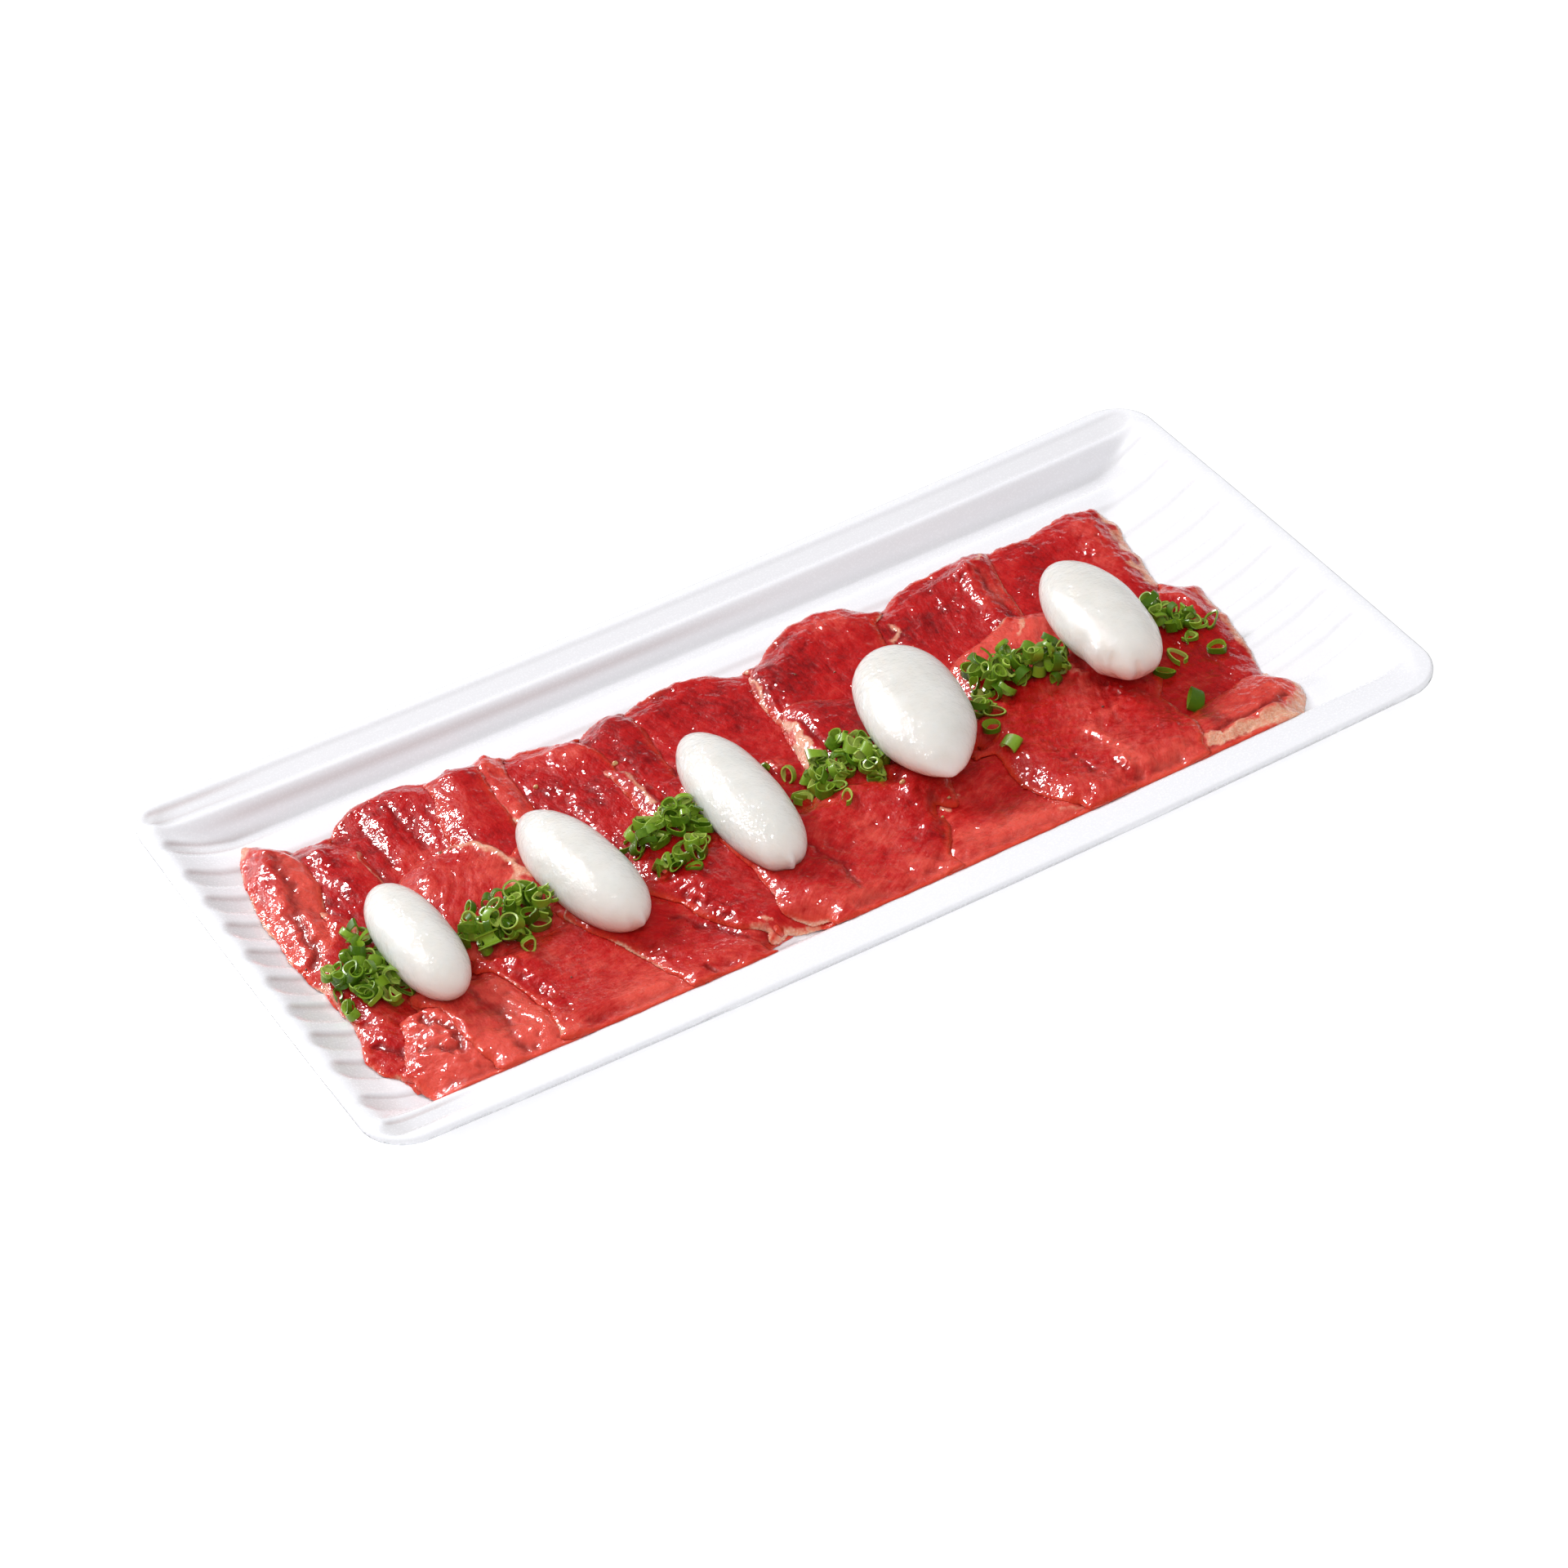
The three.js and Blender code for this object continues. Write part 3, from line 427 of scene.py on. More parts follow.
def studio_floor():
    paper = Finish("studio_floor")
    tooth = paper.noise(2.5, 3)
    paper.set(
        Base_Color=paper.mix(paper.share(tooth, 0.3, 0.7), colour(246, 246, 247), colour(244, 244, 245)),
        Roughness=0.9,
        Normal=paper.bump(tooth, 0.02),
        Emission_Color=(1, 1, 1, 1),
        Emission_Strength=0.4,
    )
    return paper.material


# The plate's upper side

def softened_profile(profile, spread):
    places = np.arange(-20, 180, 0.1)
    heights = np.interp(np.abs(places), *zip(*profile))
    kernel = np.exp(-(np.arange(-3 * spread, 3 * spread, 0.1) / spread) ** 2)
    smooth = np.convolve(heights, kernel / kernel.sum(), mode="same")
    return places, smooth


SIDE_CURVE = softened_profile(SIDE_PROFILE, SIDE_SOFTENING)
END_CURVE = softened_profile(END_PROFILE, END_SOFTENING)


def rim_rise(x):
    return RIM_RISE * (x / PLATE_HALF_LENGTH) ** 2


# How far inside the plate's outline a place is
def inside_outline(x, y):
    beyond_x = np.abs(x) - (PLATE_HALF_LENGTH - END_BOW - CORNER_RADIUS)
    beyond_y = np.abs(y) - (PLATE_HALF_WIDTH - SIDE_BOW - CORNER_RADIUS)
    outside = np.hypot(np.maximum(beyond_x, 0), np.maximum(beyond_y, 0))
    return CORNER_RADIUS - outside - np.minimum(np.maximum(beyond_x, beyond_y), 0)


# How far inside a groove's edge a place is, and how deep in a groove, from 0 to 1. The front wall
# and lip are smooth, except at their left end.
def groove_at(x, y):
    edges = zip(GROOVE_LINES, GROOVE_HALF_WIDTHS)
    inside = np.max([half - np.abs(np.abs(y) - line) for line, half in edges], axis=0)
    rounding = 2.5 * (1 - np.clip(inside / 3.7, 0, 1)) ** 2
    end = smooth_share(GROOVE_END - np.abs(x) - rounding, 0, GROOVE_RUN_OUT)
    smooth_front = smooth_share(-y, 47.5, 49.5)
    smooth_front = smooth_front * smooth_share(x, SMOOTH_FRONT_FROM - 8, SMOOTH_FRONT_FROM + 8)
    groove = smooth_share(inside, -GROOVE_WALL / 2, GROOVE_WALL / 2) * end
    return inside, groove * (1 - smooth_front)


def plate_top(x, y):
    corner_blend = 7
    depth = RIM_HEIGHT - FLOOR_HEIGHT
    side = np.maximum(np.interp(np.abs(y), *SIDE_CURVE) - FLOOR_HEIGHT, 0)
    end = np.maximum(np.interp(np.abs(x), *END_CURVE) - FLOOR_HEIGHT, 0)
    level = np.minimum((side ** corner_blend + end ** corner_blend) ** (1 / corner_blend), depth)
    groove = groove_at(x, y)[1]
    height = FLOOR_HEIGHT + level * (1 + rim_rise(x) / depth) - GROOVE_DEPTH * groove
    edge = 1 - np.clip(inside_outline(x, y) / LIP_ROUNDING, 0, 1)
    return height - LIP_ROUNDING * (1 - np.sqrt(1 - edge * edge))


# A point of one rounded rectangle moved onto another: half length, half width and corner radius
def onto_ring(place, from_ring, to_ring):
    moved = []
    for along, from_half, to_half in zip(place, from_ring, to_ring):
        from_straight = from_half - from_ring[2]
        to_straight = to_half - to_ring[2]
        if abs(along) <= from_straight:
            moved.append(along * to_straight / from_straight)
        else:
            into_corner = (abs(along) - from_straight) * to_ring[2] / from_ring[2]
            moved.append(math.copysign(to_straight + into_corner, along))
    return moved


def plate_stations(half, dense_from, sparse_step, dense_step):
    sparse = np.arange(0, dense_from, sparse_step)
    dense = np.arange(dense_from, half - 1.2, dense_step)
    rim = half - np.array([1.2, 0.9, 0.6, 0.35, 0.15, 0])
    one_side = np.concatenate([sparse, dense, rim])
    return np.concatenate([-one_side[:0:-1], one_side])


def build_plate(material):
    half_length = PLATE_HALF_LENGTH - END_BOW
    half_width = PLATE_HALF_WIDTH - SIDE_BOW
    x_stations = plate_stations(half_length, 112, 8, 0.8)
    y_stations = plate_stations(half_width, 0.55, 0.55, 0.55)
    kit = bmesh.new()
    bmesh.ops.create_grid(
        kit,
        x_segments=len(x_stations) - 1,
        y_segments=len(y_stations) - 1,
        size=0.5,
    )
    rim = [edge for edge in kit.edges if edge.is_boundary]
    for vert in kit.verts:
        x = x_stations[round((vert.co.x + 0.5) * (len(x_stations) - 1))]
        y = y_stations[round((vert.co.y + 0.5) * (len(y_stations) - 1))]
        corner_x = (abs(x) - half_length + CORNER_RADIUS) / CORNER_RADIUS
        corner_y = (abs(y) - half_width + CORNER_RADIUS) / CORNER_RADIUS
        if corner_x > 0 and corner_y > 0:
            round_x = CORNER_RADIUS * corner_x * math.sqrt(1 - corner_y ** 2 / 2)
            round_y = CORNER_RADIUS * corner_y * math.sqrt(1 - corner_x ** 2 / 2)
            x = math.copysign(half_length - CORNER_RADIUS + round_x, x)
            y = math.copysign(half_width - CORNER_RADIUS + round_y, y)
        vert.co = (x, y, 0)
    lowest = (half_length, half_width, CORNER_RADIUS)
    for ring in UNDERSIDE_RINGS:
        made = bmesh.ops.extrude_edge_only(kit, edges=rim)
        for vert in new_verts(made):
            x, y = onto_ring(vert.co.xy, lowest, ring)
            vert.co = (x, y, ring[3] + ring[4] * rim_rise(x))
        rim = [each for each in made["geom"] if isinstance(each, bmesh.types.BMEdge)]
        rim = [edge for edge in rim if edge.is_boundary]
        lowest = ring
    bmesh.ops.edgeloop_fill(kit, edges=rim)
    bmesh.ops.recalc_face_normals(kit, faces=kit.faces)
    plate = finished_piece("ribbed_white_plate", kit, material, "plate_glaze", "plate")
    places = vertex_places(plate.data)
    x = places[:, 0]
    y = places[:, 1]
    upper = places[:, 2] == 0
    upper &= np.arange(len(x)) < len(x_stations) * len(y_stations)
    places[upper, 2] = plate_top(x, y)[upper]
    inside, groove = groove_at(x, y)
    left_end = smooth_share(-x, 108, 134)
    towards_back = np.where(np.abs(y) % 11.7 > 5.85, np.sign(y), -np.sign(y))
    # Painted shade, pink with the beef's reflection, along the back edge of each groove at the left end, and
    # along the back wall.
    streak = np.exp(-((inside - 0.9) / 0.9) ** 2) * groove * left_end * (towards_back > 0)
    along_wall = smooth_share(-x, -45, 20) * smooth_share(x, -139, -118)
    streak += 0.8 * np.exp(-((y - 60) / 0.9) ** 2) * along_wall
    # The grooves' painted shade: strongest at the left end and along the back wall, faint elsewhere.
    shaded = 0.25 + 0.6 * left_end + 0.9 * smooth_share(-x, 135, 143)
    shaded = np.where(y > 48, np.maximum(shaded, 0.85), shaded)
    set_values(plate.data, "painted_groove_shade", groove * shaded * upper)
    set_values(plate.data, "streak", streak * upper)
    end_share = smooth_share(np.abs(x), 100, half_length) * (1 - (y / PLATE_HALF_WIDTH) ** 2)
    side_share = smooth_share(np.abs(y), 60, half_width) * (1 - (x / PLATE_HALF_LENGTH) ** 2)
    places[:, 0] += np.sign(x) * END_BOW * end_share
    places[:, 1] += np.sign(y) * SIDE_BOW * side_share
    set_vertex_places(plate.data, places * MM)
    return plate


# How each slice looks: its tone from deep crimson (0) to pink (1), the heading of its grain, how
# wrinkled it is, and the marks on it. A mark has its kind, half width, amount and line.
# fat: cream fat. rim: cream fat along the part of the outline near the line. pale: pinker
# flesh, with a painted pink sheen along ridges.
# ridge and crease: raised or sunken lines, in millimetres, with painted shade in the creases. wet:
# fine glistening wrinkles, also in millimetres. dark: painted shade in a fold.

SLICE_LOOKS = {
    "beef_slice_01_back_right_end": (0.42, 100, 0.8, (
        ("rim", 3.9, 0.92, ((124, 43), (122, 37), (120, 29), (119, 23), (118, 14), (115.5, 6))),
        ("fat", 1.7, 0.9, ((114.1, 20.3), (117.2, 17.6))),
        ("ridge", 3, 0.6, ((113, 41), (112, 24), (109, 14))),
        ("wet", 1.8, 0.7, ((116.1, 40.5), (113.6, 31.9))),
        ("wet", 1.4, 0.6, ((109.5, 26), (106.6, 27.3))),
        ("pale", 5, 0.25, ((114, 40), (110, 20))),
    )),
    "beef_slice_02_back_right": (0.38, 80, 1.0, (
        ("fat", 1.0, 0.8, ((49.8, 33.7), (49.9, 29.4), (47, 27.6))),
        ("fat", 0.6, 0.7, ((50.3, 23), (49.6, 20))),
        ("rim", 0.8, 0.7, ((86, 43.9), (83.8, 38.4), (81.2, 26.9), (79.5, 19.3), (79, 13.6))),
        ("wet", 1.8, 0.7, ((79.5, 39.8), (75, 38.5), (74.5, 34))),
        ("wet", 1.5, 0.6, ((75.6, 26.9), (76.3, 19.7))),
        ("fat", 0.9, 0.8, ((83.4, 44.1), (81.5, 41))),
        ("ridge", 2.5, 0.7, ((77, 40), (74, 30), (74, 16))),
        ("pale", 4, 0.3, ((79, 42), (77, 24))),
        ("crease", 1.2, 0.6, ((79.3, 37), (78, 26), (76.4, 18))),
    )),
    "beef_slice_03_back_middle": (0.42, 110, 0.8, (
        ("fat", 2.0, 0.4, ((-2.5, 3.5), (-1.6, 1))),
        ("ridge", 2.2, 1.0, ((-2.5, 3.5), (-1.6, 0.5))),
        ("wet", 2.0, 0.4, ((-5, 6), (-2.5, 3.5), (-1.6, 0.5))),
    )),
    "beef_slice_04_back_middle_right": (0.36, 95, 1.0, (
        ("fat", 0.5, 0.8, ((10.2, 39.4), (8.7, 31.9), (7.6, 24.1), (6.3, 14.7))),
        ("ridge", 1.4, 0.5, ((11.6, 38), (10, 28), (8.6, 16))),
        ("wet", 1.0, 0.5, ((10.2, 36), (8.7, 29), (7.6, 22), (6.3, 14.7))),
        ("rim", 0.7, 0.3, ((29.5, 48), (41, 48), (47.1, 40))),
        ("pale", 4, 0.3, ((30, 47), (46, 40))),
    )),
    "beef_slice_05_back_narrow": (0.4, 100, 0.7, (
        ("wet", 1.6, 0.5, ((-34.1, 26.2), (-30.1, 12.9), (-29.6, 6.5))),
    )),
    "beef_slice_06_back_left_middle": (0.4, 100, 0.9, (
        ("rim", 0.6, 0.3, ((-60, 43), (-60, 30), (-62, 18))),
        ("wet", 3.0, 0.3, ((-55, 34), (-52, 24), (-54, 14))),
        ("pale", 4, 0.25, ((-50, 40), (-42, 34))),
    )),
    "beef_slice_07_back_fold": (0.75, 95, 0.6, (
        ("fat", 0.7, 0.6, ((-68.1, 31.8), (-68.7, 27.6), (-68.3, 22.2))),
        ("fat", 1.5, 0.9, ((-69.1, 20.4), (-66.3, 18.7), (-65.1, 17.9))),
        ("ridge", 1.5, 0.5, ((-64, 44), (-65, 30), (-65, 20))),
    )),
    "beef_slice_08_back_left": (0.46, 85, 0.8, (
        ("ridge", 1.8, 0.5, ((-96.6, 42.5), (-95.4, 36.8), (-94.7, 28.7), (-96.7, 22.7))),
        ("crease", 1.3, 0.3, ((-99.5, 42), (-98.5, 34), (-99, 25))),
        ("crease", 1.2, 0.3, ((-91, 44), (-90.5, 34), (-91, 25))),
        ("dark", 2.2, 0.8, ((-103.6, 24), (-103.6, 18), (-104.2, 12))),
    )),
    "beef_slice_09_back_smooth": (0.5, 95, 0.5, (
        ("wet", 1.0, 0.4, ((-72, 36), (-73, 29), (-71, 22))),
    )),
    "beef_slice_10_back_left_end": (0.3, 95, 0.8, (
        ("fat", 0.6, 0.8, ((-104.2, 35.7), (-105.3, 26.2), (-105.3, 19.7), (-106.4, 12))),
        ("ridge", 1.2, 0.6, ((-104.8, 35.7), (-105.9, 26.2), (-106, 19.7), (-107, 12))),
        ("ridge", 2, 0.5, ((-113.3, 38), (-114.6, 30), (-113, 20))),
        ("pale", 2.5, 0.3, ((-106.5, 34), (-107.5, 18))),
    )),
    "beef_slice_11_left_end_curl": (0.84, 95, 1.0, (
        ("wet", 5.0, 0.25, ((-124, 42), (-124, 25), (-130, 5))),
        ("ridge", 2.6, 0.7, (
            (-125.4, 46.7), (-122.4, 37.8), (-121.4, 30.2), (-122.2, 22.8), (-125.2, 15.1), (-128.2, 7.3),
        )),
        ("crease", 1.8, 0.9, (
            (-124.6, 39), (-125.6, 29.8), (-127.2, 21.6), (-129.4, 14.7), (-131, 5), (-132, -1.6),
        )),
        ("ridge", 1.8, 0.7, (
            (-128.7, 40.9), (-130.8, 31.6), (-132.1, 22.3), (-133.3, 13.2), (-133.9, 3.9), (-134.2, -4),
        )),
        ("rim", 0.8, 0.35, ((-133, 39), (-136, 20), (-136, 5), (-134.5, -8))),
        ("rim", 1.8, 0.9, ((-129, 51), (-128, 49))),
        ("fat", 2.4, 0.5, ((-128.5, 50), (-126.5, 47))),
        ("rim", 0.6, 0.4, ((-119.5, 40), (-118.2, 30), (-120, 20))),
        ("pale", 3, 0.25, ((-123, 42), (-122, 30), (-124, 18))),
    )),
    "beef_slice_12_left_middle": (0.6, 120, 1.0, (
        ("rim", 1.2, 0.8, ((-122.2, 16), (-119.6, 10.6), (-118, 6.8), (-116.5, 4))),
        ("fat", 0.9, 0.7, ((-118.4, 6.8), (-119.9, 2.3))),
        ("rim", 1.2, 0.55, ((-134.2, -8), (-134, -20.6), (-133.3, -27.7), (-136, -34), (-137.5, -38))),
        ("wet", 2.0, 0.4, ((-131, -20), (-130, -30), (-132, -38))),
        ("crease", 1.3, 0.9, ((-133.5, -35.9), (-129.1, -39.8), (-127.3, -43.6))),
        ("rim", 0.8, 0.3, ((-134, -46.5), (-126, -47.5))),
        ("pale", 3, 0.2, ((-118, 5), (-112, -2))),
    )),
    "beef_slice_13_left_crumbly_fat": (0.68, 60, 0.8, (
        ("fat", 1.5, 1.0, (
            (-88.4, 18.3), (-84.7, 16.2), (-80.8, 13.5), (-79, 9.7), (-77.4, 5.6), (-76.6, 1.8), (-75, -1.9),
        )),
        ("fat", 1.3, 0.8, ((-77, 0), (-79.6, -3.9), (-77, -6))),
        ("ridge", 1.6, 0.7, ((-88.4, 18.3), (-84.7, 16.2), (-80.8, 13.5), (-79, 9.7), (-77.4, 5.6))),
        ("rim", 0.7, 0.4, ((-99, 18), (-93, 21), (-88, 19.5))),
    )),
    "beef_slice_14_middle_white_fat": (0.5, 95, 0.8, (
        ("fat", 1.0, 0.75, ((-38.8, 22), (-37, 16), (-36.8, 9), (-37.4, 3))),
        ("rim", 1.2, 0.6, ((-40, 22), (-39, 14))),
        ("ridge", 2.0, 0.8, ((-35.8, 20.4), (-33.8, 12.5), (-32.8, 5.4), (-31.2, -1.9))),
        ("wet", 2.2, 0.8, ((-37.5, 20), (-36.5, 12), (-36, 5), (-34, -2))),
        ("crease", 0.9, 0.5, ((-36.2, 18), (-35.6, 10), (-35.4, 2))),
    )),
    "beef_slice_15_middle_fat_wedge": (0.42, 100, 0.8, (
        ("fat", 0.8, 1.1, ((8.4, 17.4), (7.4, 11.9))),
        ("fat", 1.4, 1.2, ((7.2, 10.5), (5.6, 3.7))),
        ("fat", 1.9, 1.2, ((5.4, 2.5), (5, -5.5))),
        ("ridge", 2.0, 0.5, ((8, 16), (6, 5), (5.2, -4))),
        ("crease", 0.7, 0.4, ((9.8, 15), (9.4, 8), (8.6, 0), (8.4, -6))),
    )),
    "beef_slice_16_right_end": (0.42, 100, 1.0, (
        ("rim", 2.7, 0.75, ((121, 7), (124, -3), (123, -17), (120.5, -28))),
        ("wet", 2.0, 0.45, ((113.5, 0.6), (115.9, -2.8), (118, -5.5))),
        ("ridge", 1.6, 0.7, ((111, 2.6), (115.9, -2.8), (117.4, -9))),
        ("pale", 3, 0.25, ((112, 3), (118, -6))),
    )),
    "beef_slice_17_right_front_fold": (0.7, 15, 0.9, (
        ("fat", 2.3, 1.3, (
            (88.2, -57.4), (94.9, -57.8), (102, -59.2), (109.2, -59), (115, -57), (118.6, -53.6),
        )),
        ("rim", 2.8, 0.9, ((117.6, -39.5), (120.5, -44), (120.5, -51.7), (117, -56))),
        ("crease", 1.0, 0.8, ((91, -54), (100, -54.6), (108, -54.4), (114, -52.6))),
        ("dark", 2.0, 0.9, ((95, -40.5), (94.4, -46), (93.8, -51.4))),
        ("ridge", 2.0, 0.6, ((88.2, -57.1), (102, -57.6), (115, -55.8))),
    )),
    "beef_slice_18_left_front_end": (0.88, 130, 1.6, (
        ("wet", 3.4, 0.9, ((-119.7, -37.4), (-118.1, -43.3), (-117.5, -52.8))),
        ("wet", 2.6, 0.5, ((-126.4, -49.1), (-121, -45))),
        ("ridge", 2.0, 0.9, ((-122.6, -31.8), (-117.4, -31.9), (-115.2, -39.8), (-113.6, -49.4))),
        ("ridge", 1.4, 0.7, ((-121.4, -35.5), (-118.7, -41.5), (-118.6, -48))),
        ("ridge", 1.2, 0.6, ((-127, -47), (-122, -50.5), (-117.5, -52.8))),
        ("crease", 1.2, 0.7, ((-119.5, -35), (-116.6, -42), (-116, -50))),
        ("crease", 1.0, 0.6, ((-125.4, -44.4), (-121.5, -46.5), (-119.6, -50.4))),
        ("fat", 0.6, 0.35, ((-121, -38), (-119, -43), (-121, -47))),
    )),
    "beef_slice_19_left_front_arch": (0.7, 80, 0.9, (
        ("ridge", 2.4, 0.8, ((-99, -32), (-97.6, -41.2), (-97.6, -49.9), (-98.4, -58.9))),
        ("wet", 2.2, 0.45, ((-103.9, -45.8), (-104, -53.6), (-101.6, -59.3))),
        ("pale", 3, 0.3, ((-100, -34), (-99, -56))),
        ("crease", 1.4, 0.5, ((-106, -34), (-105, -46), (-106, -56))),
    )),
    "beef_slice_20_front_left": (0.56, 15, 0.6, (
        ("rim", 0.8, 0.3, ((-96.7, -24.4), (-93.6, -30), (-92.4, -40), (-93.4, -50), (-94.6, -56))),
        ("wet", 1.8, 0.8, ((-95.7, -24.4), (-92.8, -30), (-91.6, -38), (-91.8, -44))),
        ("wet", 1.2, 0.5, ((-79.7, -37.4), (-79.5, -40.6), (-84, -46.9))),
        ("ridge", 1.5, 0.7, ((-94.6, -25), (-91.6, -32), (-90.6, -42), (-92, -53))),
        ("dark", 1.5, 0.4, ((-88, -27), (-86, -34))),
    )),
    "beef_slice_21_front_left_middle": (0.46, 150, 0.9, (
        ("rim", 0.7, 0.4, ((-71.5, -21), (-69.6, -30), (-66.4, -38), (-64.2, -47))),
        ("wet", 1.2, 0.6, ((-70.5, -29), (-67.4, -38), (-61, -48), (-60.3, -51))),
        ("ridge", 2.0, 1.2, ((-40.5, -57.4), (-44, -58.2))),
        ("dark", 2.0, 0.8, ((-36.4, -50.5), (-37.4, -57))),
        ("crease", 1.0, 0.8, ((-56.7, -57), (-55.4, -60.4))),
        ("crease", 1.2, 0.5, ((-52, -36), (-47, -44), (-42, -52))),
    )),
    "beef_slice_22_front_middle_left": (0.42, 120, 0.9, (
        ("wet", 1.8, 0.9, ((-45.6, -29.7), (-46, -34), (-43.4, -40), (-41.6, -43.6))),
        ("ridge", 1.6, 0.8, ((-44.7, -29.7), (-45.2, -35.6), (-41.3, -44.6))),
        ("fat", 0.7, 0.8, ((-37, -49.6), (-34.6, -51.4))),
        ("rim", 1.1, 0.8, ((-37, -51.5), (-32.5, -54.5), (-28, -56))),
    )),
    "beef_slice_23_front_middle_right": (0.5, 20, 1.0, (
        ("fat", 0.6, 0.9, ((22.6, -36.6), (23.8, -38.4))),
        ("fat", 0.5, 0.7, ((26.6, -34.4), (28, -35.4))),
        ("rim", 0.6, 0.25, ((20.1, -42.1), (15.5, -49.8), (11.8, -58.4))),
        ("fat", 1.2, 0.55, ((43.3, -56.8), (47.6, -59))),
        ("pale", 4, 0.25, ((20, -50), (40, -56))),
    )),
    "beef_slice_24_front_middle": (0.5, 35, 1.1, (
        ("dark", 1.8, 0.9, ((21.4, -32.8), (20, -37), (18.8, -42))),
        ("crease", 1.0, 0.7, ((17.2, -46), (15.6, -49.4), (13.8, -54))),
        ("ridge", 2.0, 0.8, ((18.4, -30), (16.4, -38), (13.8, -46))),
        ("rim", 0.7, 0.4, ((-30, -44), (-31, -52.6), (-25.5, -55.6))),
        ("wet", 1.2, 0.6, ((-30, -42), (-30, -52), (-25, -54.6))),
        ("crease", 1.2, 0.45, ((-14, -30), (-10, -42), (-12, -54))),
        ("pale", 4, 0.2, ((2, -34), (6, -50))),
    )),
    "beef_slice_25_front_right": (0.52, 60, 1.3, (
        ("pale", 7, 0.55, ((55, 5), (66, 9), (80, 8))),
        ("rim", 1.2, 0.8, ((72.5, 15), (78, 15.6), (81, 14.6))),
        ("wet", 1.6, 0.8, ((80.4, -21), (81.3, -30))),
        ("wet", 1.6, 0.8, ((86.6, -39), (88, -43), (90, -49.7))),
        ("wet", 1.3, 0.5, ((52.8, -39.4), (56.6, -27.1), (62.9, -22.1))),
        ("wet", 2.2, 0.8, ((57.1, -37.4), (58.3, -46.4), (61.5, -54.9), (65, -54.6))),
        ("wet", 1.6, 0.7, ((66.4, -39), (67.7, -46.1), (65.7, -53.8))),
        ("fat", 0.9, 0.8, ((76.8, 13.6), (74.5, 9.8), (71.9, 7.9))),
        ("rim", 0.9, 0.4, ((90.4, -38.2), (88.8, -48.5), (86.7, -55))),
        ("ridge", 2.0, 0.45, ((66.9, -30), (67.8, -42.8), (67.7, -52.2))),
        ("pale", 2.2, 0.4, ((66.9, -33), (67.8, -42.8), (67.7, -52.2))),
        ("fat", 1.4, 0.5, ((76.2, -11.4), (78, -15.4))),
        ("ridge", 1.6, 1.2, ((76.2, -11.4), (78, -15.4))),
        ("crease", 1.2, 0.25, ((80.4, -18), (76, -30), (74, -42))),
        ("crease", 1.0, 0.25, ((58, -40), (58, -50), (61, -57))),
    )),
}

FLESH_SOFTENING = 2.4
OUTLINE_SOFTENING = 0.8
OUTLINE_RAGGEDNESS = 0.2
SLICE_THICKNESS = 1.55
LEAST_EDGE = 0.3
EDGE_ROUNDING = 1.4
TUCKED_UNDER = 3.2
FRONT_PALENESS = 0.3
FRONT_FROM = -57.4
FRONT_REACH = -61.9
GAP_CLOSING = 3.8


class Window:
    def __init__(self, node):
        low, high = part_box(node)
        self.columns = self.reach(GRID_X, low.x / MM, high.x / MM)
        self.rows = self.reach(GRID_Y, low.y / MM, high.y / MM)
        self.x, self.y = np.meshgrid(GRID_X[self.columns], GRID_Y[self.rows])

    def reach(self, lines, low, high):
        first = np.searchsorted(lines, low - WINDOW_MARGIN)
        last = np.searchsorted(lines, high + WINDOW_MARGIN)
        return slice(max(0, first), min(len(lines), last))

    def of(self, grid):
        return grid[self.rows, self.columns]

    def at(self, grid, x, y):
        return on_grid(grid, x, y, self.x[0, 0], self.y[0, 0])


# The underside of a node's solid over a window, and where it has any
def solid_underside(node, window):
    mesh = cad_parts[node].data
    tree = BVHTree.FromPolygons(
        [vert.co / MM for vert in mesh.vertices],
        [list(face.vertices) for face in mesh.polygons],
    )
    under = np.zeros(window.x.shape)
    found = np.zeros(window.x.shape)
    for place in np.ndindex(window.x.shape):
        start = Vector((window.x[place], window.y[place], -10))
        below = tree.ray_cast(start, Vector((0, 0, 1)))[0]
        if below is not None:
            under[place] = below.z
            found[place] = 1
    return under, found


# The mean of a grid over the places where it is known
def mean_where(grid, known, spread):
    weight = softened(known, spread)
    return softened(np.where(known > 0, grid, 0) * known, spread) / np.maximum(weight, 1e-6)


def marks_of(kind, marks):
    return [mark for mark in marks if mark[0] == kind]


def lines_of(kind, marks, x, y, seed):
    total = np.zeros(x.shape)
    for order, (_, half_width, amount, line) in enumerate(marks_of(kind, marks)):
        ragged = 1 + 0.45 * noise(x, y, 2.2, seed + 40 + order) + 0.3 * noise(x, y, 0.9, seed + 60)
        distance = away_from(x, y, line)
        total += amount * np.exp(-(distance / (half_width * np.maximum(ragged, 0.3))) ** 2)
    return total


# Which places of a grid a sheet's mesh has, and which of them are on its border
def mesh_places(inside):
    cells = inside[:-1, :-1] & inside[1:, :-1] & inside[:-1, 1:] & inside[1:, 1:]
    around = np.pad(cells, 1)
    corners = (around[:-1, :-1], around[1:, :-1], around[:-1, 1:], around[1:, 1:])
    used = np.any(corners, axis=0)
    return used, used & ~np.all(corners, axis=0)


def distance_to_points(places, points):
    parts = np.array_split(places, 1 + len(places) // 1500)
    nearest = [
        np.hypot(part[:, :1] - points[:, 0], part[:, 1:] - points[:, 1]).min(axis=1) for part in parts
    ]
    return np.concatenate(nearest)


# A slice's footprint, reaching under what lies on it and down to the plate's front wall
def footprint_of(found, covered, front, window):
    tucked = (softened(found, TUCKED_UNDER) > 0.04) & (softened(window.of(covered), 0.8) > 0.2)
    footprint = np.maximum(found, tucked)
    front_row = int(np.argmin(np.abs(window.y[:, 0] - FRONT_FROM)))
    if window.y[front_row, 0] < FRONT_FROM + STEP:
        footprint = np.maximum(footprint, footprint[front_row] * window.of(front))
    return footprint


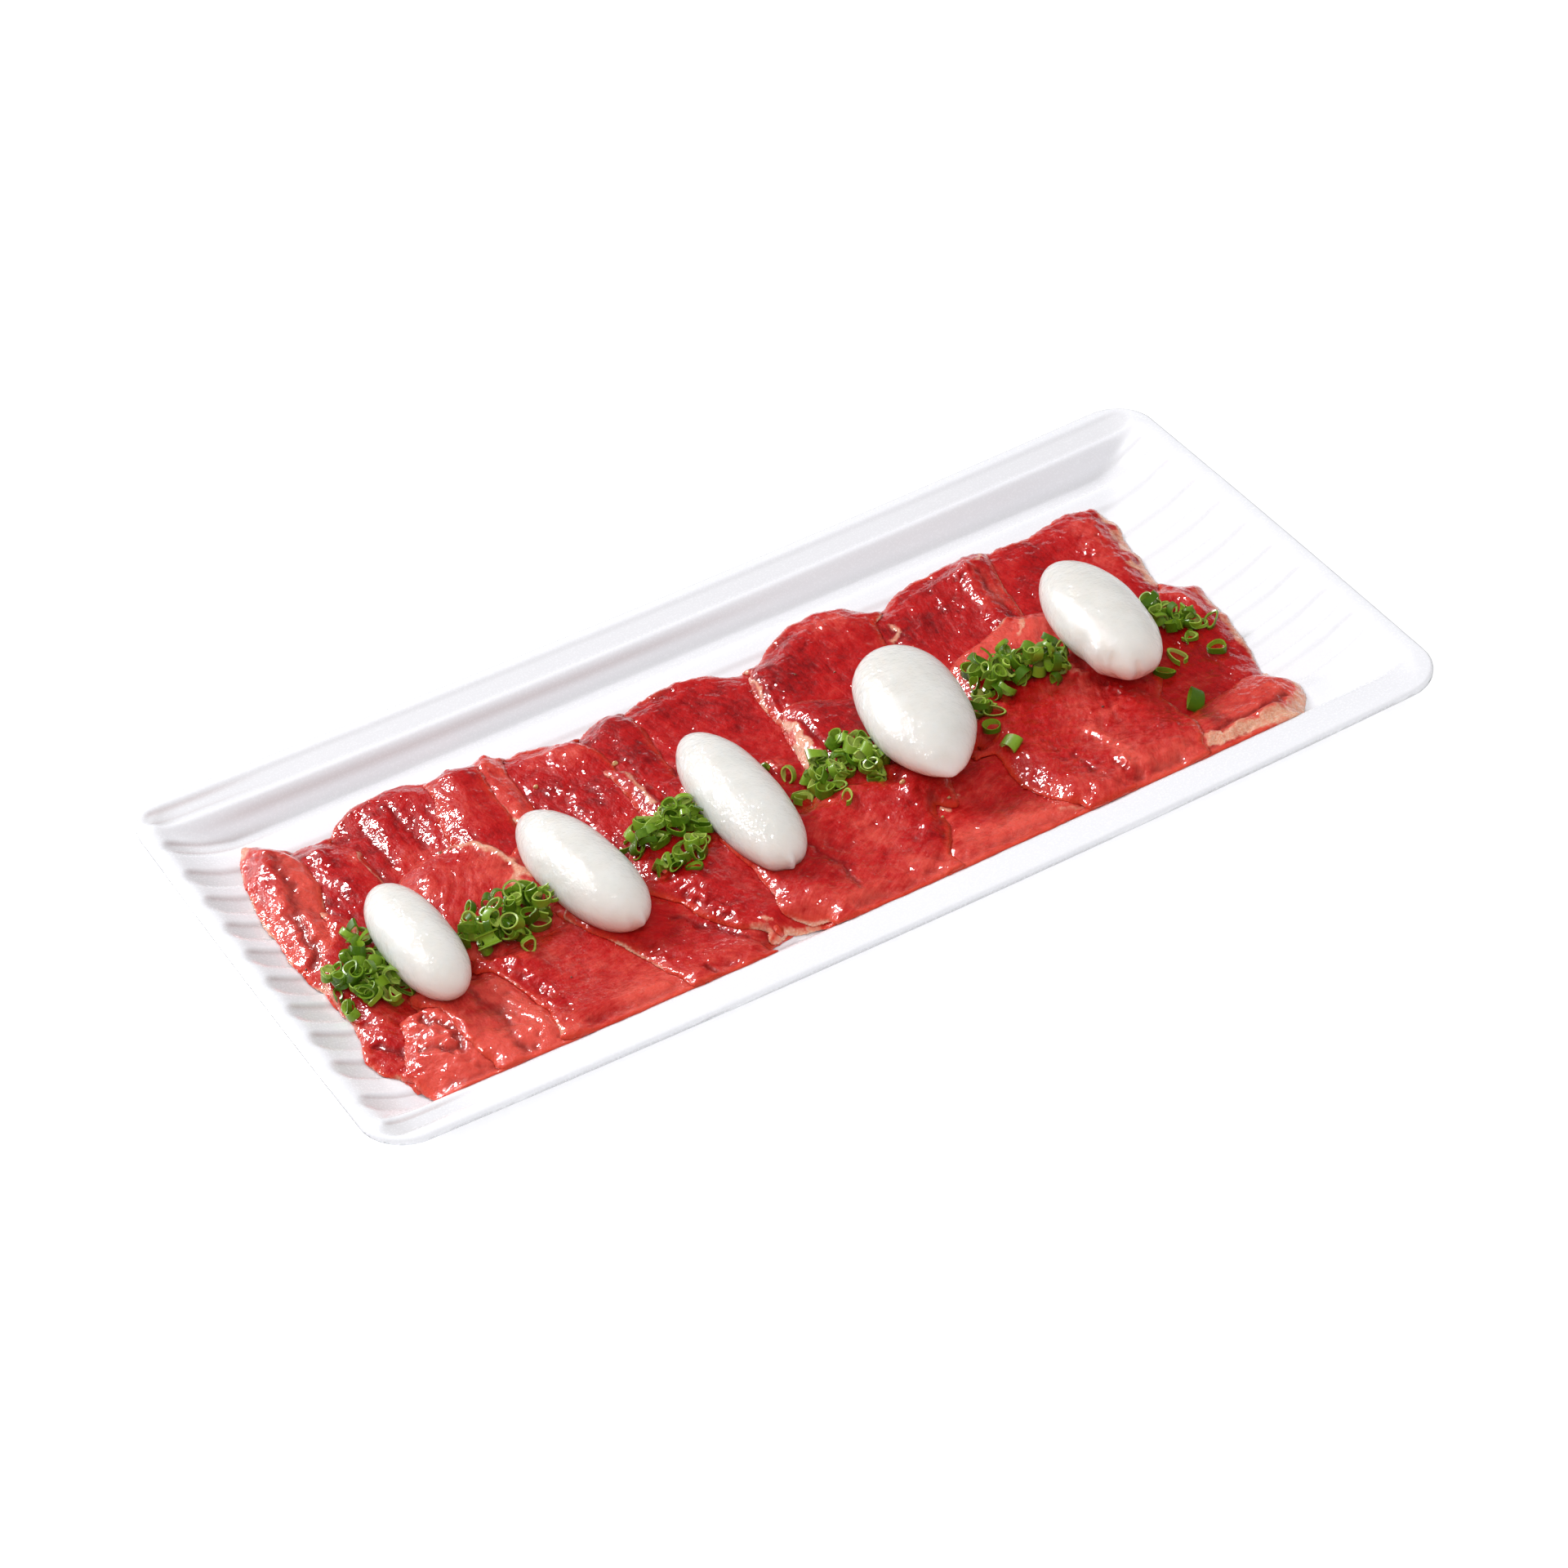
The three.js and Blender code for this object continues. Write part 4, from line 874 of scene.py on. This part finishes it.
def lay_slice(number, node, window, solid, covered, front, ground, material):
    tone, grain_heading, wrinkled, marks = SLICE_LOOKS[node]
    seed = 200 + 20 * number
    x = window.x
    y = window.y
    solid_under, found = solid

    # Outline
    cover = softened(footprint_of(found, covered, front, window), OUTLINE_SOFTENING)
    ragged = 0.6 * noise(x, y, 4.5, seed + 1) + 0.4 * noise(x, y, 1.8, seed + 2)
    cover = cover + OUTLINE_RAGGEDNESS * ragged * (cover > 0.02) * (cover < 0.98)
    inside, border = mesh_places(cover > 0.5)
    slope_y, slope_x = np.gradient(softened(cover, 0.4), STEP)
    steepness = np.maximum(slope_x ** 2 + slope_y ** 2, 1e-3)
    reach = np.clip((cover - 0.5) / steepness, 0, 1.6 * STEP / np.sqrt(steepness))
    placed_x = np.where(border, x - reach * slope_x, x)
    placed_y = np.where(border, y - reach * slope_y, y)
    rim_points = np.stack([placed_x[border], placed_y[border]], axis=1)
    to_rim = np.zeros(x.shape)
    to_rim[inside] = distance_to_points(np.stack([x[inside], y[inside]], axis=1), rim_points)
    to_rim[border] = 0

    # Heights
    rest = window.of(ground) + CONTACT
    bedded = mean_where(solid_under, found, FLESH_SOFTENING)
    swell = 0.3 * (1 + noise(x, y, 11, seed + 3))
    lifted = np.maximum(bedded - 0.2 + swell - rest, 0) * smooth_share(to_rim, 0.4, 7)
    under = rest + lifted
    under = np.maximum(softened(under, 1.1), rest)
    under = np.maximum(softened(under, 0.6), rest)

    grain = math.radians(grain_heading)
    along = x * math.cos(grain) + y * math.sin(grain)
    across = y * math.cos(grain) - x * math.sin(grain) + 1.4 * noise(x, y, 9, seed + 4)
    relief = 0.26 * noise(x, y, 6, seed + 5) + 0.16 * noise(x, y, 2.6, seed + 6)
    relief += 0.18 * noise(along / 3.5, across, 2.1, seed + 7)
    relief += 0.09 * noise(along / 2, across, 1.1, seed + 8)
    relief += 0.07 * noise(x, y, 1.2, seed + 9)
    relief *= wrinkled
    marks_x = x + 1.2 * noise(x, y, 5, seed + 10) + 0.4 * noise(x, y, 1.7, seed + 16)
    marks_y = y + 1.2 * noise(x, y, 5, seed + 11) + 0.4 * noise(x, y, 1.7, seed + 17)
    relief += lines_of("ridge", marks, marks_x, marks_y, seed)
    creases = lines_of("crease", marks, marks_x, marks_y, seed)
    relief -= creases
    wet = 0.6 * noise(x, y, 1.7, seed + 21) + 0.4 * noise(x, y, 1.1, seed + 22)
    relief += lines_of("wet", marks, x, y, seed) * wet

    # Fat
    fat = lines_of("fat", marks, marks_x, marks_y, seed)
    for _, half_width, amount, line in marks_of("rim", marks):
        near_line = smooth_share(-away_from(x, y, line), -5, -2.5)
        patches = np.clip(amount + 1.3 * (amount - 1) * noise(x, y, 4, seed + 19), 0, 1)
        width = half_width * (0.9 + 0.8 * noise(x, y, 3.1, seed + 13))
        fat = np.maximum(fat, patches * near_line * np.exp(-(to_rim / np.maximum(width, 0.2)) ** 2))
    fat = np.clip(fat, 0, 1)
    lumps = 0.5 + 0.5 * noise(x, y, 1.5, seed + 12)
    relief += 0.25 * fat * lumps

    thickness = SLICE_THICKNESS * (1 + 0.15 * noise(x, y, 14, seed + 14))
    edge = LEAST_EDGE * (1 + 0.4 * noise(x, y, 2.5, seed + 18))
    body = edge + (thickness - edge) * (1 - np.exp(-to_rim / EDGE_ROUNDING))
    top = np.maximum(under + body + relief * smooth_share(to_rim, 0, 2.2), under + edge)

    # Painted values
    # Painted shade where the top lies below its surroundings, in creases and in dark folds.
    painted_hollow_shade = np.clip(1.6 * (softened(top, 1.4) - top), 0, 1) * smooth_share(to_rim, 0.8, 3)
    painted_hollow_shade = np.clip(painted_hollow_shade + 0.8 * creases + lines_of("dark", marks, x, y, seed), 0, 1)
    # pale marks: pinker flesh, and on ridges a painted pink sheen.
    paint = tone + 0.16 * noise(x, y, 13, seed + 15) + lines_of("pale", marks, x, y, seed)
    paint += FRONT_PALENESS * smooth_share(-y, 44, 58)
    # Painted glow of light through the thin edges, fading inwards from the outline.
    thin = np.exp(-(to_rim / (1.1 + 0.5 * noise(x, y, 3.5, seed + 20))) ** 2)

    piece = sheet_piece(node.replace("beef_slice", "slice"), inside, material, "raw_beef", node)
    places = vertex_places(piece.data)
    rows, columns = inside.shape
    column = np.rint((places[:, 0] + 0.5) * (columns - 1)).astype(int)
    row = np.rint((places[:, 1] + 0.5) * (rows - 1)).astype(int)
    upper = places[:, 2] > 0.5
    vert_x = placed_x[row, column]
    vert_y = placed_y[row, column]
    vert_under = window.at(under, vert_x, vert_y)
    vert_top = np.where(border[row, column], vert_under + edge[row, column], top[row, column])
    vert_z = np.where(upper, vert_top, vert_under)
    set_vertex_places(piece.data, np.stack([vert_x, vert_y, vert_z], axis=1) * MM)
    set_values(piece.data, "fat", fat[row, column])
    set_values(piece.data, "tone", paint[row, column])
    set_values(piece.data, "painted_hollow_shade", painted_hollow_shade[row, column])
    set_values(piece.data, "thin", thin[row, column])
    grain_layer = piece.data.attributes.new("grain", "FLOAT_VECTOR", "POINT")
    grained = np.stack([along / 6, across, np.full(x.shape, 10.0 * number)], axis=2)
    grain_layer.data.foreach_set("vector", np.ravel(grained[row, column] * MM))

    highest = window.of(ground)
    highest[inside] = np.maximum(highest, top)[inside]
    return piece


def lay_slices(ground, material):
    nodes = sorted(SLICE_LOOKS)
    windows = [Window(node) for node in nodes]
    solids = [solid_underside(node, window) for node, window in zip(nodes, windows)]

    # Gaps between the slices, and the toppings, count as covering what lies beside or under them
    meat = np.zeros(ground.shape)
    for window, (_, found) in zip(windows, solids):
        window.of(meat)[found > 0] = 1
    covered = (softened(meat, GAP_CLOSING) > 0.54) * (1 - meat)
    grid_x, grid_y = np.meshgrid(GRID_X, GRID_Y)
    for (centre_x, centre_y), (length, width, _), heading, front_taper, back_taper, _ in OVALS:
        turn = math.radians(heading)
        off_x = grid_x - centre_x
        off_y = grid_y - centre_y
        along = (off_x * math.cos(turn) + off_y * math.sin(turn)) / (length / 2 - 0.6)
        across = (off_y * math.cos(turn) - off_x * math.sin(turn)) / (width / 2 - 0.4)
        narrowing = 1 - np.where(along > 0, front_taper, back_taper) * along ** 2
        covered[(np.abs(along) < 1) & (across ** 2 < narrowing ** 2 * (1 - along ** 2))] = 1
    covered_by_later = []
    for window, (_, found) in zip(reversed(windows), reversed(solids)):
        covered_by_later.append(covered.copy())
        window.of(covered)[found > 0] = 1
    covered_by_later.reverse()

    # The meat's front edge climbs the plate's wall, a little shorter at its ends
    front_row = int(np.argmin(np.abs(GRID_Y - FRONT_FROM)))
    along_front = np.flatnonzero(covered[front_row])
    climbed = FRONT_FROM - grid_y
    front = (climbed > 0) & (grid_y > FRONT_REACH)
    front &= (grid_x > GRID_X[along_front[0]] + climbed) & (grid_x < GRID_X[along_front[-1]] - climbed)

    laid = zip(nodes, windows, solids, covered_by_later)
    for number, (node, window, solid, later) in enumerate(laid):
        lay_slice(number, node, window, solid, later, front, ground, material)


# A closed sheet over the places of a grid that are inside, flat for now: its underside on z = 0
# and its top on z = 1
def sheet_piece(name, inside, material, slot, *nodes):
    rows, columns = inside.shape
    kit = bmesh.new()
    bmesh.ops.create_grid(kit, x_segments=columns - 1, y_segments=rows - 1, size=0.5)
    outside = [
        vert for vert in kit.verts
        if not inside[round((vert.co.y + 0.5) * (rows - 1)), round((vert.co.x + 0.5) * (columns - 1))]
    ]
    bmesh.ops.delete(kit, geom=outside, context="VERTS")
    loose = [vert for vert in kit.verts if not vert.link_faces]
    bmesh.ops.delete(kit, geom=loose, context="VERTS")
    made = bmesh.ops.extrude_face_region(kit, geom=kit.faces[:])
    bmesh.ops.translate(kit, vec=(0, 0, 1), verts=new_verts(made))
    bmesh.ops.recalc_face_normals(kit, faces=kit.faces)
    return finished_piece(name, kit, material, slot, *nodes)


# Ovals, as in the part's source: centre, size, heading of the end that faces the front, and how
# much narrower that end and the back one are than the middle. Then the nubs and cuts of their
# front ends: place, width and how far the skin stands out there.
OVAL_BLUNTNESS = 0.76
OVALS = (
    ((-111, -14.8), (44, 18, 15), -91, 0.02, 0.12, ()),
    ((-65.1, -12.2), (50.5, 20.6, 16), -85, 0, 0.16, (
        ((-61.8, -37.6), 0.9, 0.9), ((-64.4, -37.8), 1.1, -0.5),
    )),
    ((-20.6, -11.9), (56, 20.6, 16), -92, 0.02, 0.12, (
        ((-22.2, -39.6), 0.9, 0.9), ((-27, -36.4), 3.2, 1.0), ((-20.4, -39.4), 1.1, -0.4),
    )),
    ((30.4, -12.6), (53, 27.4, 17), -102, 0.54, -0.02, (
        ((31.5, -38.8), 2.2, 1.2), ((25.5, -36), 3.5, -1.2),
    )),
    ((87.9, -7.3), (49.5, 23.4, 17), -95, 0.08, 0.18, (
        ((78.5, -21), 1.4, 0.6), ((80, -26), 1.3, -0.9), ((82, -29.6), 1.2, 0.2), ((84.2, -31.4), 1.1, -1.0),
        ((86.6, -32), 3.0, -0.9), ((89, -32), 1.0, -0.5), ((76.8, -16), 2.5, -0.6),
    )),
)
OVAL_LIFT = 0.08


def build_oval(number, ground, material):
    centre, size, heading, front_taper, back_taper, nubs = OVALS[number]
    node = "white_oval_%d" % (number + 1)
    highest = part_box(node)[1].z / MM
    kit = bmesh.new()
    bmesh.ops.create_uvsphere(kit, u_segments=160, v_segments=110, radius=1)
    bmesh.ops.rotate(kit, verts=kit.verts, matrix=Matrix.Rotation(math.pi / 2, 3, "Y"))
    piece = finished_piece("white_oval_%d_skin" % (number + 1), kit, material, "white_oval", node)
    places = vertex_places(piece.data)
    along = np.sign(places[:, 0]) * np.abs(places[:, 0]) ** OVAL_BLUNTNESS
    narrowing = 1 - np.where(along > 0, front_taper, back_taper) * along ** 2
    length, width, height = (each / 2 for each in size)
    local_x = length * along
    local_y = width * narrowing * places[:, 1]
    local_z = height * narrowing * places[:, 2]
    round_z = local_y + 2 * local_z
    dents = 0.15 * noise(local_x, round_z, 9, 900 + number)
    dents += 0.05 * noise(local_x, round_z, 3.6, 920 + number)
    wrinkled = smooth_share(noise(local_x, round_z, 11, 930 + number), -0.5, 0.3)
    dents += 0.03 * wrinkled * noise(local_x / 0.7, round_z / 1.6, 1.2, 940 + number)
    swollen = 1 + (dents - 0.2) / width
    turn = math.radians(heading)
    local_y = local_y * swollen
    local_z = local_z * swollen
    x = centre[0] + local_x * math.cos(turn) - local_y * math.sin(turn)
    y = centre[1] + local_x * math.sin(turn) + local_y * math.cos(turn)
    z = highest - local_z.max() + local_z
    out_x = (x - centre[0]) / np.hypot(x - centre[0], y - centre[1])
    out_y = (y - centre[1]) / np.hypot(x - centre[0], y - centre[1])
    for (nub_x, nub_y), nub_width, push in nubs:
        strength = push * np.exp(-((x - nub_x) ** 2 + (y - nub_y) ** 2) / nub_width ** 2)
        x = x + strength * out_x
        y = y + strength * out_y
    bed = on_grid(ground, x, y) + OVAL_LIFT
    z = np.maximum(z, bed)
    set_vertex_places(piece.data, np.stack([x, y, z], axis=1) * MM)
    # Painted warm light from the beef beneath: strongest at the lower front end.
    painted_beef_light = smooth_share(along, 0.0, 0.95) * smooth_share(-places[:, 2], -0.9, 0.3)
    set_values(piece.data, "painted_beef_light", painted_beef_light)
    return piece


# Chopped chives

RING_SIDES = 16
SLIT_SHARE = 0.36
# Each heap's clumps: centre, size, heading and count of pieces
HEAPS = (
    (((-126.3, -13.8), (18, 18), 0, 32), ((-122.5, -4.5), (8, 9), 0, 7), ((-129, -16), (14, 20), 0, 14),
     ((-120.5, -22), (9, 9), 0, 9)),
    (((-91.5, -13.5), (19, 17), 0, 34), ((-81.5, -13), (14, 14), 0, 22), ((-77, -14.5), (6, 10), 0, 7)),
    (((-45, -6), (10, 17), 0, 18), ((-35.5, -9.5), (11, 18), 0, 24), ((-41, -21), (15, 11), 0, 14)),
    (((3, -12), (15, 15), 0, 24), ((13.6, -11.5), (13, 19), 0, 30)),
    (((60.5, -3), (18, 17), 8, 40), ((70.8, -7.8), (12, 11), 0, 20), ((49.6, -12), (5, 9), 0, 6)),
    (((107.2, -7.5), (8, 15), 0, 18), ((110.5, -13.5), (9, 9), 0, 8)),
)
PILING_UP = 0.3
RING_SETTLING = 80


# One ring of chive around the origin, its hole along Z, some of them slit and sprung open: its
# vertices, and how much farther out its loose end is
def ring_of_chive(kit, radius, wall, length, draw):
    half = length / 2
    inner = radius - wall
    bulge = draw.uniform(-0.1, 0.18)
    section = (
        (inner, -half), (radius, -half), (radius + bulge, 0), (radius, half), (inner, half),
        (inner + bulge, 0),
    )
    verts = [kit.verts.new((out, 0, up)) for out, up in section]
    edges = [kit.edges.new(pair) for pair in zip(verts, verts[1:] + verts[:1])]
    slit = draw.uniform() < SLIT_SHARE
    geometry = verts + edges
    if slit:
        geometry = geometry + [kit.faces.new(verts)]
    before = set(kit.verts) - set(verts)
    bmesh.ops.spin(
        kit,
        geom=geometry,
        cent=(0, 0, 0),
        axis=(0, 0, 1),
        dvec=(0, 0, 0),
        angle=math.radians(draw.uniform(170, 330)) if slit else 2 * math.pi,
        steps=RING_SIDES,
        use_merge=not slit,
        use_duplicate=False,
    )
    sprung = draw.uniform(0, 0.6) if slit else 0
    return [vert for vert in kit.verts if vert not in before], sprung


class Pile:
    def __init__(self, ground):
        self.ground = ground
        self.kit = bmesh.new()
        self.tint = self.kit.verts.layers.float.new("tint")
        self.inside = self.kit.verts.layers.float.new("inside")

    def add_ring(self, x, y, tilt, turn, radius, length, draw):
        wall = draw.uniform(0.28, 0.5)
        verts, sprung = ring_of_chive(self.kit, radius, wall, length, draw)
        squash = draw.uniform(0.0, 0.5)
        dent = draw.uniform(0, 0.14)
        wave = draw.uniform(0.0, 0.4)
        slanted = draw.uniform(0.0, 0.4)
        lean = draw.uniform(0, 2 * math.pi)
        tint = draw.uniform(0.0, 1.0)
        pose = (
            Matrix.Rotation(turn, 3, "Z") @ Matrix.Rotation(tilt, 3, "X") @ Matrix.Rotation(lean, 3, "Z")
        )
        for vert in verts:
            out = math.hypot(vert.co.x, vert.co.y)
            vert[self.tint] = tint
            vert[self.inside] = 1.0 if out < radius - wall / 2 else 0.15
            round_the_ring = math.atan2(vert.co.y, vert.co.x)
            dented = 1 + dent * math.cos(3 * round_the_ring + lean)
            dented += sprung * ((round_the_ring + 0.01) / (2 * math.pi) % 1)
            cut = 1 + slanted * math.cos(round_the_ring + 2 * lean)
            place = Vector((
                vert.co.x * dented * (1 + squash / 2),
                vert.co.y * dented * (1 - squash),
                vert.co.z * cut + wave * math.cos(2 * round_the_ring + lean),
            ))
            vert.co = pose @ place
        places = np.array([vert.co for vert in verts])
        places[:, 0] += x
        places[:, 1] += y
        clearance = on_grid(self.ground, places[:, 0], places[:, 1]) - places[:, 2]
        lift = np.percentile(clearance, RING_SETTLING)
        places[:, 2] += lift
        for vert, place in zip(verts, places):
            vert.co = place
        column = np.rint((places[:, 0] - GRID_X[0]) / STEP).astype(int)
        row = np.rint((places[:, 1] - GRID_Y[0]) / STEP).astype(int)
        np.maximum.at(self.ground, (row, column), places[:, 2])

    def finish(self, name, material, *nodes):
        bmesh.ops.scale(self.kit, vec=(MM, MM, MM), verts=self.kit.verts)
        bmesh.ops.recalc_face_normals(self.kit, faces=self.kit.faces)
        piece = finished_piece(name, self.kit, material, "chive", *nodes)
        piece.data.set_sharp_from_angle(angle=math.radians(50))
        return piece


def build_heap(number, ground, material):
    draw = np.random.RandomState(500 + number)
    pile = Pile(ground)
    for centre, size, heading, count in HEAPS[number]:
        turn = math.radians(heading)
        for order in range(count):
            out = math.sqrt(draw.uniform()) * (1 - PILING_UP * order / count)
            angle = draw.uniform(0, 2 * math.pi)
            local_x = out * math.cos(angle) * size[0] / 2
            local_y = out * math.sin(angle) * size[1] / 2
            pile.add_ring(
                centre[0] + local_x * math.cos(turn) - local_y * math.sin(turn),
                centre[1] + local_x * math.sin(turn) + local_y * math.cos(turn),
                math.radians(draw.choice([draw.uniform(0, 30), draw.uniform(35, 90)])),
                draw.uniform(0, 2 * math.pi),
                draw.uniform(1.6, 2.7),
                draw.uniform(0.8, 3.0),
                draw,
            )
    return pile.finish("chopped_chives_%d" % (number + 1), material, "chive_heap_%d" % (number + 1))


# Single pieces beside the heaps: place, tilt, radius and length
LOOSE_RINGS = (
    ((112.8, -23.4), 8, 2.5, 1.6),
    ((96, -24.2), 25, 2.5, 1.6),
    ((102.7, -20.6), 8, 2.6, 1.2),
    ((116.8, -14.8), 30, 2.3, 1.4),
    ((95.4, -38.6), 52, 2.6, 3.4),
    ((48.2, -13), 25, 2.3, 1.8),
    ((47.7, -19), 12, 2.5, 1.8),
    ((47.8, -28), 70, 2.2, 3.6),
    ((77.6, -5.6), 50, 1.8, 2.4),
    ((-95, -20.6), 75, 1.6, 5.5),
    ((-87.4, -26.6), 60, 1.9, 2.2),
    ((3.1, -23.2), 8, 2.4, 1.3),
    ((13.8, -0.8), 50, 1.9, 2.0),
    ((-2.2, -3.4), 60, 2.0, 2.2),
    ((-5.6, 2.4), 60, 1.4, 1.4),
)


def build_loose_rings(ground, material):
    draw = np.random.RandomState(640)
    pile = Pile(ground)
    for (x, y), tilt, radius, length in LOOSE_RINGS:
        pile.add_ring(x, y, math.radians(tilt), draw.uniform(0, 6), radius, length, draw)
    return pile.finish(
        "loose_chive_rings", material, "beef_slice_16_right_end", "beef_slice_25_front_right",
    )


# Crumbs of the marinade's spice: place, size and tint from dark (0) to golden (1)
CRUMBS = (
    ((-56.6, 28.6), 1.1, 0.9), ((-36.2, 24.8), 1.3, 0.8), ((17, -26.6), 1.3, 0.9),
    ((-83.7, -40.6), 0.5, 0.0), ((74.9, -28.1), 0.6, 0.0), ((18.3, 28.1), 0.5, 0.1),
    ((27.8, 24.5), 0.5, 0.1), ((-135, -1.9), 0.5, 0.0), ((-88.9, 17.6), 0.8, 0.3),
    ((-86.6, 16.2), 0.5, 0.2), ((24.4, -36.2), 0.8, 0.5), ((20.2, -39.8), 0.7, 0.7),
)


def build_crumbs(ground, material):
    draw = np.random.RandomState(650)
    kit = bmesh.new()
    layer = kit.verts.layers.float.new("tint")
    for (x, y), size, tint in CRUMBS:
        made = bmesh.ops.create_icosphere(kit, subdivisions=3, radius=size / 2)
        shift = draw.uniform(0, 50)
        height = float(on_grid(ground, np.array(x), np.array(y)))
        for vert in made["verts"]:
            lump = 1 + 0.3 * float(noise(vert.co.x + shift, vert.co.y + vert.co.z, size / 2, 651))
            vert[layer] = tint
            vert.co = (x + vert.co.x * lump * 1.2, y + vert.co.y * lump, height + size / 6 + vert.co.z * lump)
    bmesh.ops.scale(kit, vec=(MM, MM, MM), verts=kit.verts)
    return finished_piece("spice_crumbs", kit, material, "raw_beef")


# Studio

def add_floor():
    kit = bmesh.new()
    bmesh.ops.create_grid(kit, x_segments=4, y_segments=4, size=4)
    mesh = bpy.data.meshes.new("studio_floor")
    kit.to_mesh(mesh)
    kit.free()
    mesh.materials.append(studio_floor())
    floor = bpy.data.objects.new("studio_floor", mesh)
    bpy.context.scene.collection.objects.link(floor)
    floor.visible_glossy = False


def add_softbox(name, towards, distance, size, power):
    lamp = bpy.data.lights.new(name, "AREA")
    lamp.shape = "RECTANGLE"
    lamp.size, lamp.size_y = size
    lamp.energy = power
    holder = bpy.data.objects.new(name, lamp)
    direction = Vector(towards).normalized()
    holder.location = direction * distance
    holder.rotation_euler = direction.to_track_quat("Z", "Y").to_euler()
    bpy.context.scene.collection.objects.link(holder)
    return holder


def add_studio():
    add_floor()
    world = bpy.data.worlds.new("studio")
    world.use_nodes = True
    background = world.node_tree.nodes["Background"]
    background.inputs["Color"].default_value = (1, 1, 1, 1)
    background.inputs["Strength"].default_value = 0.08
    bpy.context.scene.world = world
    add_softbox("key_softbox", (-0.42, 0.7, 0.58), 1.3, (0.5, 0.4), 13).visible_glossy = False
    add_softbox("top_softbox", (0.05, -0.1, 1), 1.4, (1.2, 1.2), 7.5).visible_glossy = False
    add_softbox("front_softbox", (-0.42, -0.5, 0.78), 1.6, (1.6, 0.8), 12.5).visible_glossy = False
    add_softbox("right_softbox", (0.85, -0.2, 0.45), 1.5, (1.2, 0.9), 4.4).visible_glossy = False
    add_softbox("glint_high", (-0.36, 0.66, 0.66), 1.3, (0.42, 0.34), 30).visible_diffuse = False
    add_softbox("glint_low", (-0.56, 0.79, 0.26), 1.3, (0.2, 0.12), 3.4).visible_diffuse = False
    bpy.context.scene.view_settings.view_transform = "Standard"


def add_camera():
    camera = bpy.data.cameras.new("photo_camera")
    camera.sensor_fit = "HORIZONTAL"
    camera.sensor_width = 36
    camera.lens = 105.98
    camera.clip_start = 0.05
    camera.clip_end = 20
    holder = bpy.data.objects.new("photo_camera", camera)
    back = Vector((-0.34701, -0.68388, 0.64178)).normalized()
    azimuth = math.radians(-26.90)
    roll = math.radians(-5.43)
    level_right = Vector((math.cos(azimuth), math.sin(azimuth), 0))
    level_up = back.cross(level_right)
    right = math.cos(roll) * level_right + math.sin(roll) * level_up
    up = back.cross(right)
    turned = Matrix((right, up, back)).transposed().to_4x4()
    turned.translation = Vector((-0.40247, -0.78916, 0.74641))
    holder.matrix_world = turned
    bpy.context.scene.collection.objects.link(holder)
    bpy.context.scene.camera = holder


def main():
    add_camera()
    add_studio()
    build_plate(plate_glaze())

    grid_x, grid_y = np.meshgrid(GRID_X, GRID_Y)
    ground = plate_top(grid_x, grid_y)
    lay_slices(ground, raw_beef())

    oval_skin = white_oval_skin()
    for number in range(len(OVALS)):
        build_oval(number, ground, oval_skin)

    chive = chopped_chive()
    for number in range(len(HEAPS)):
        build_heap(number, ground, chive)
    build_loose_rings(ground, chive)
    build_crumbs(ground, crumb_of_spice())


main()
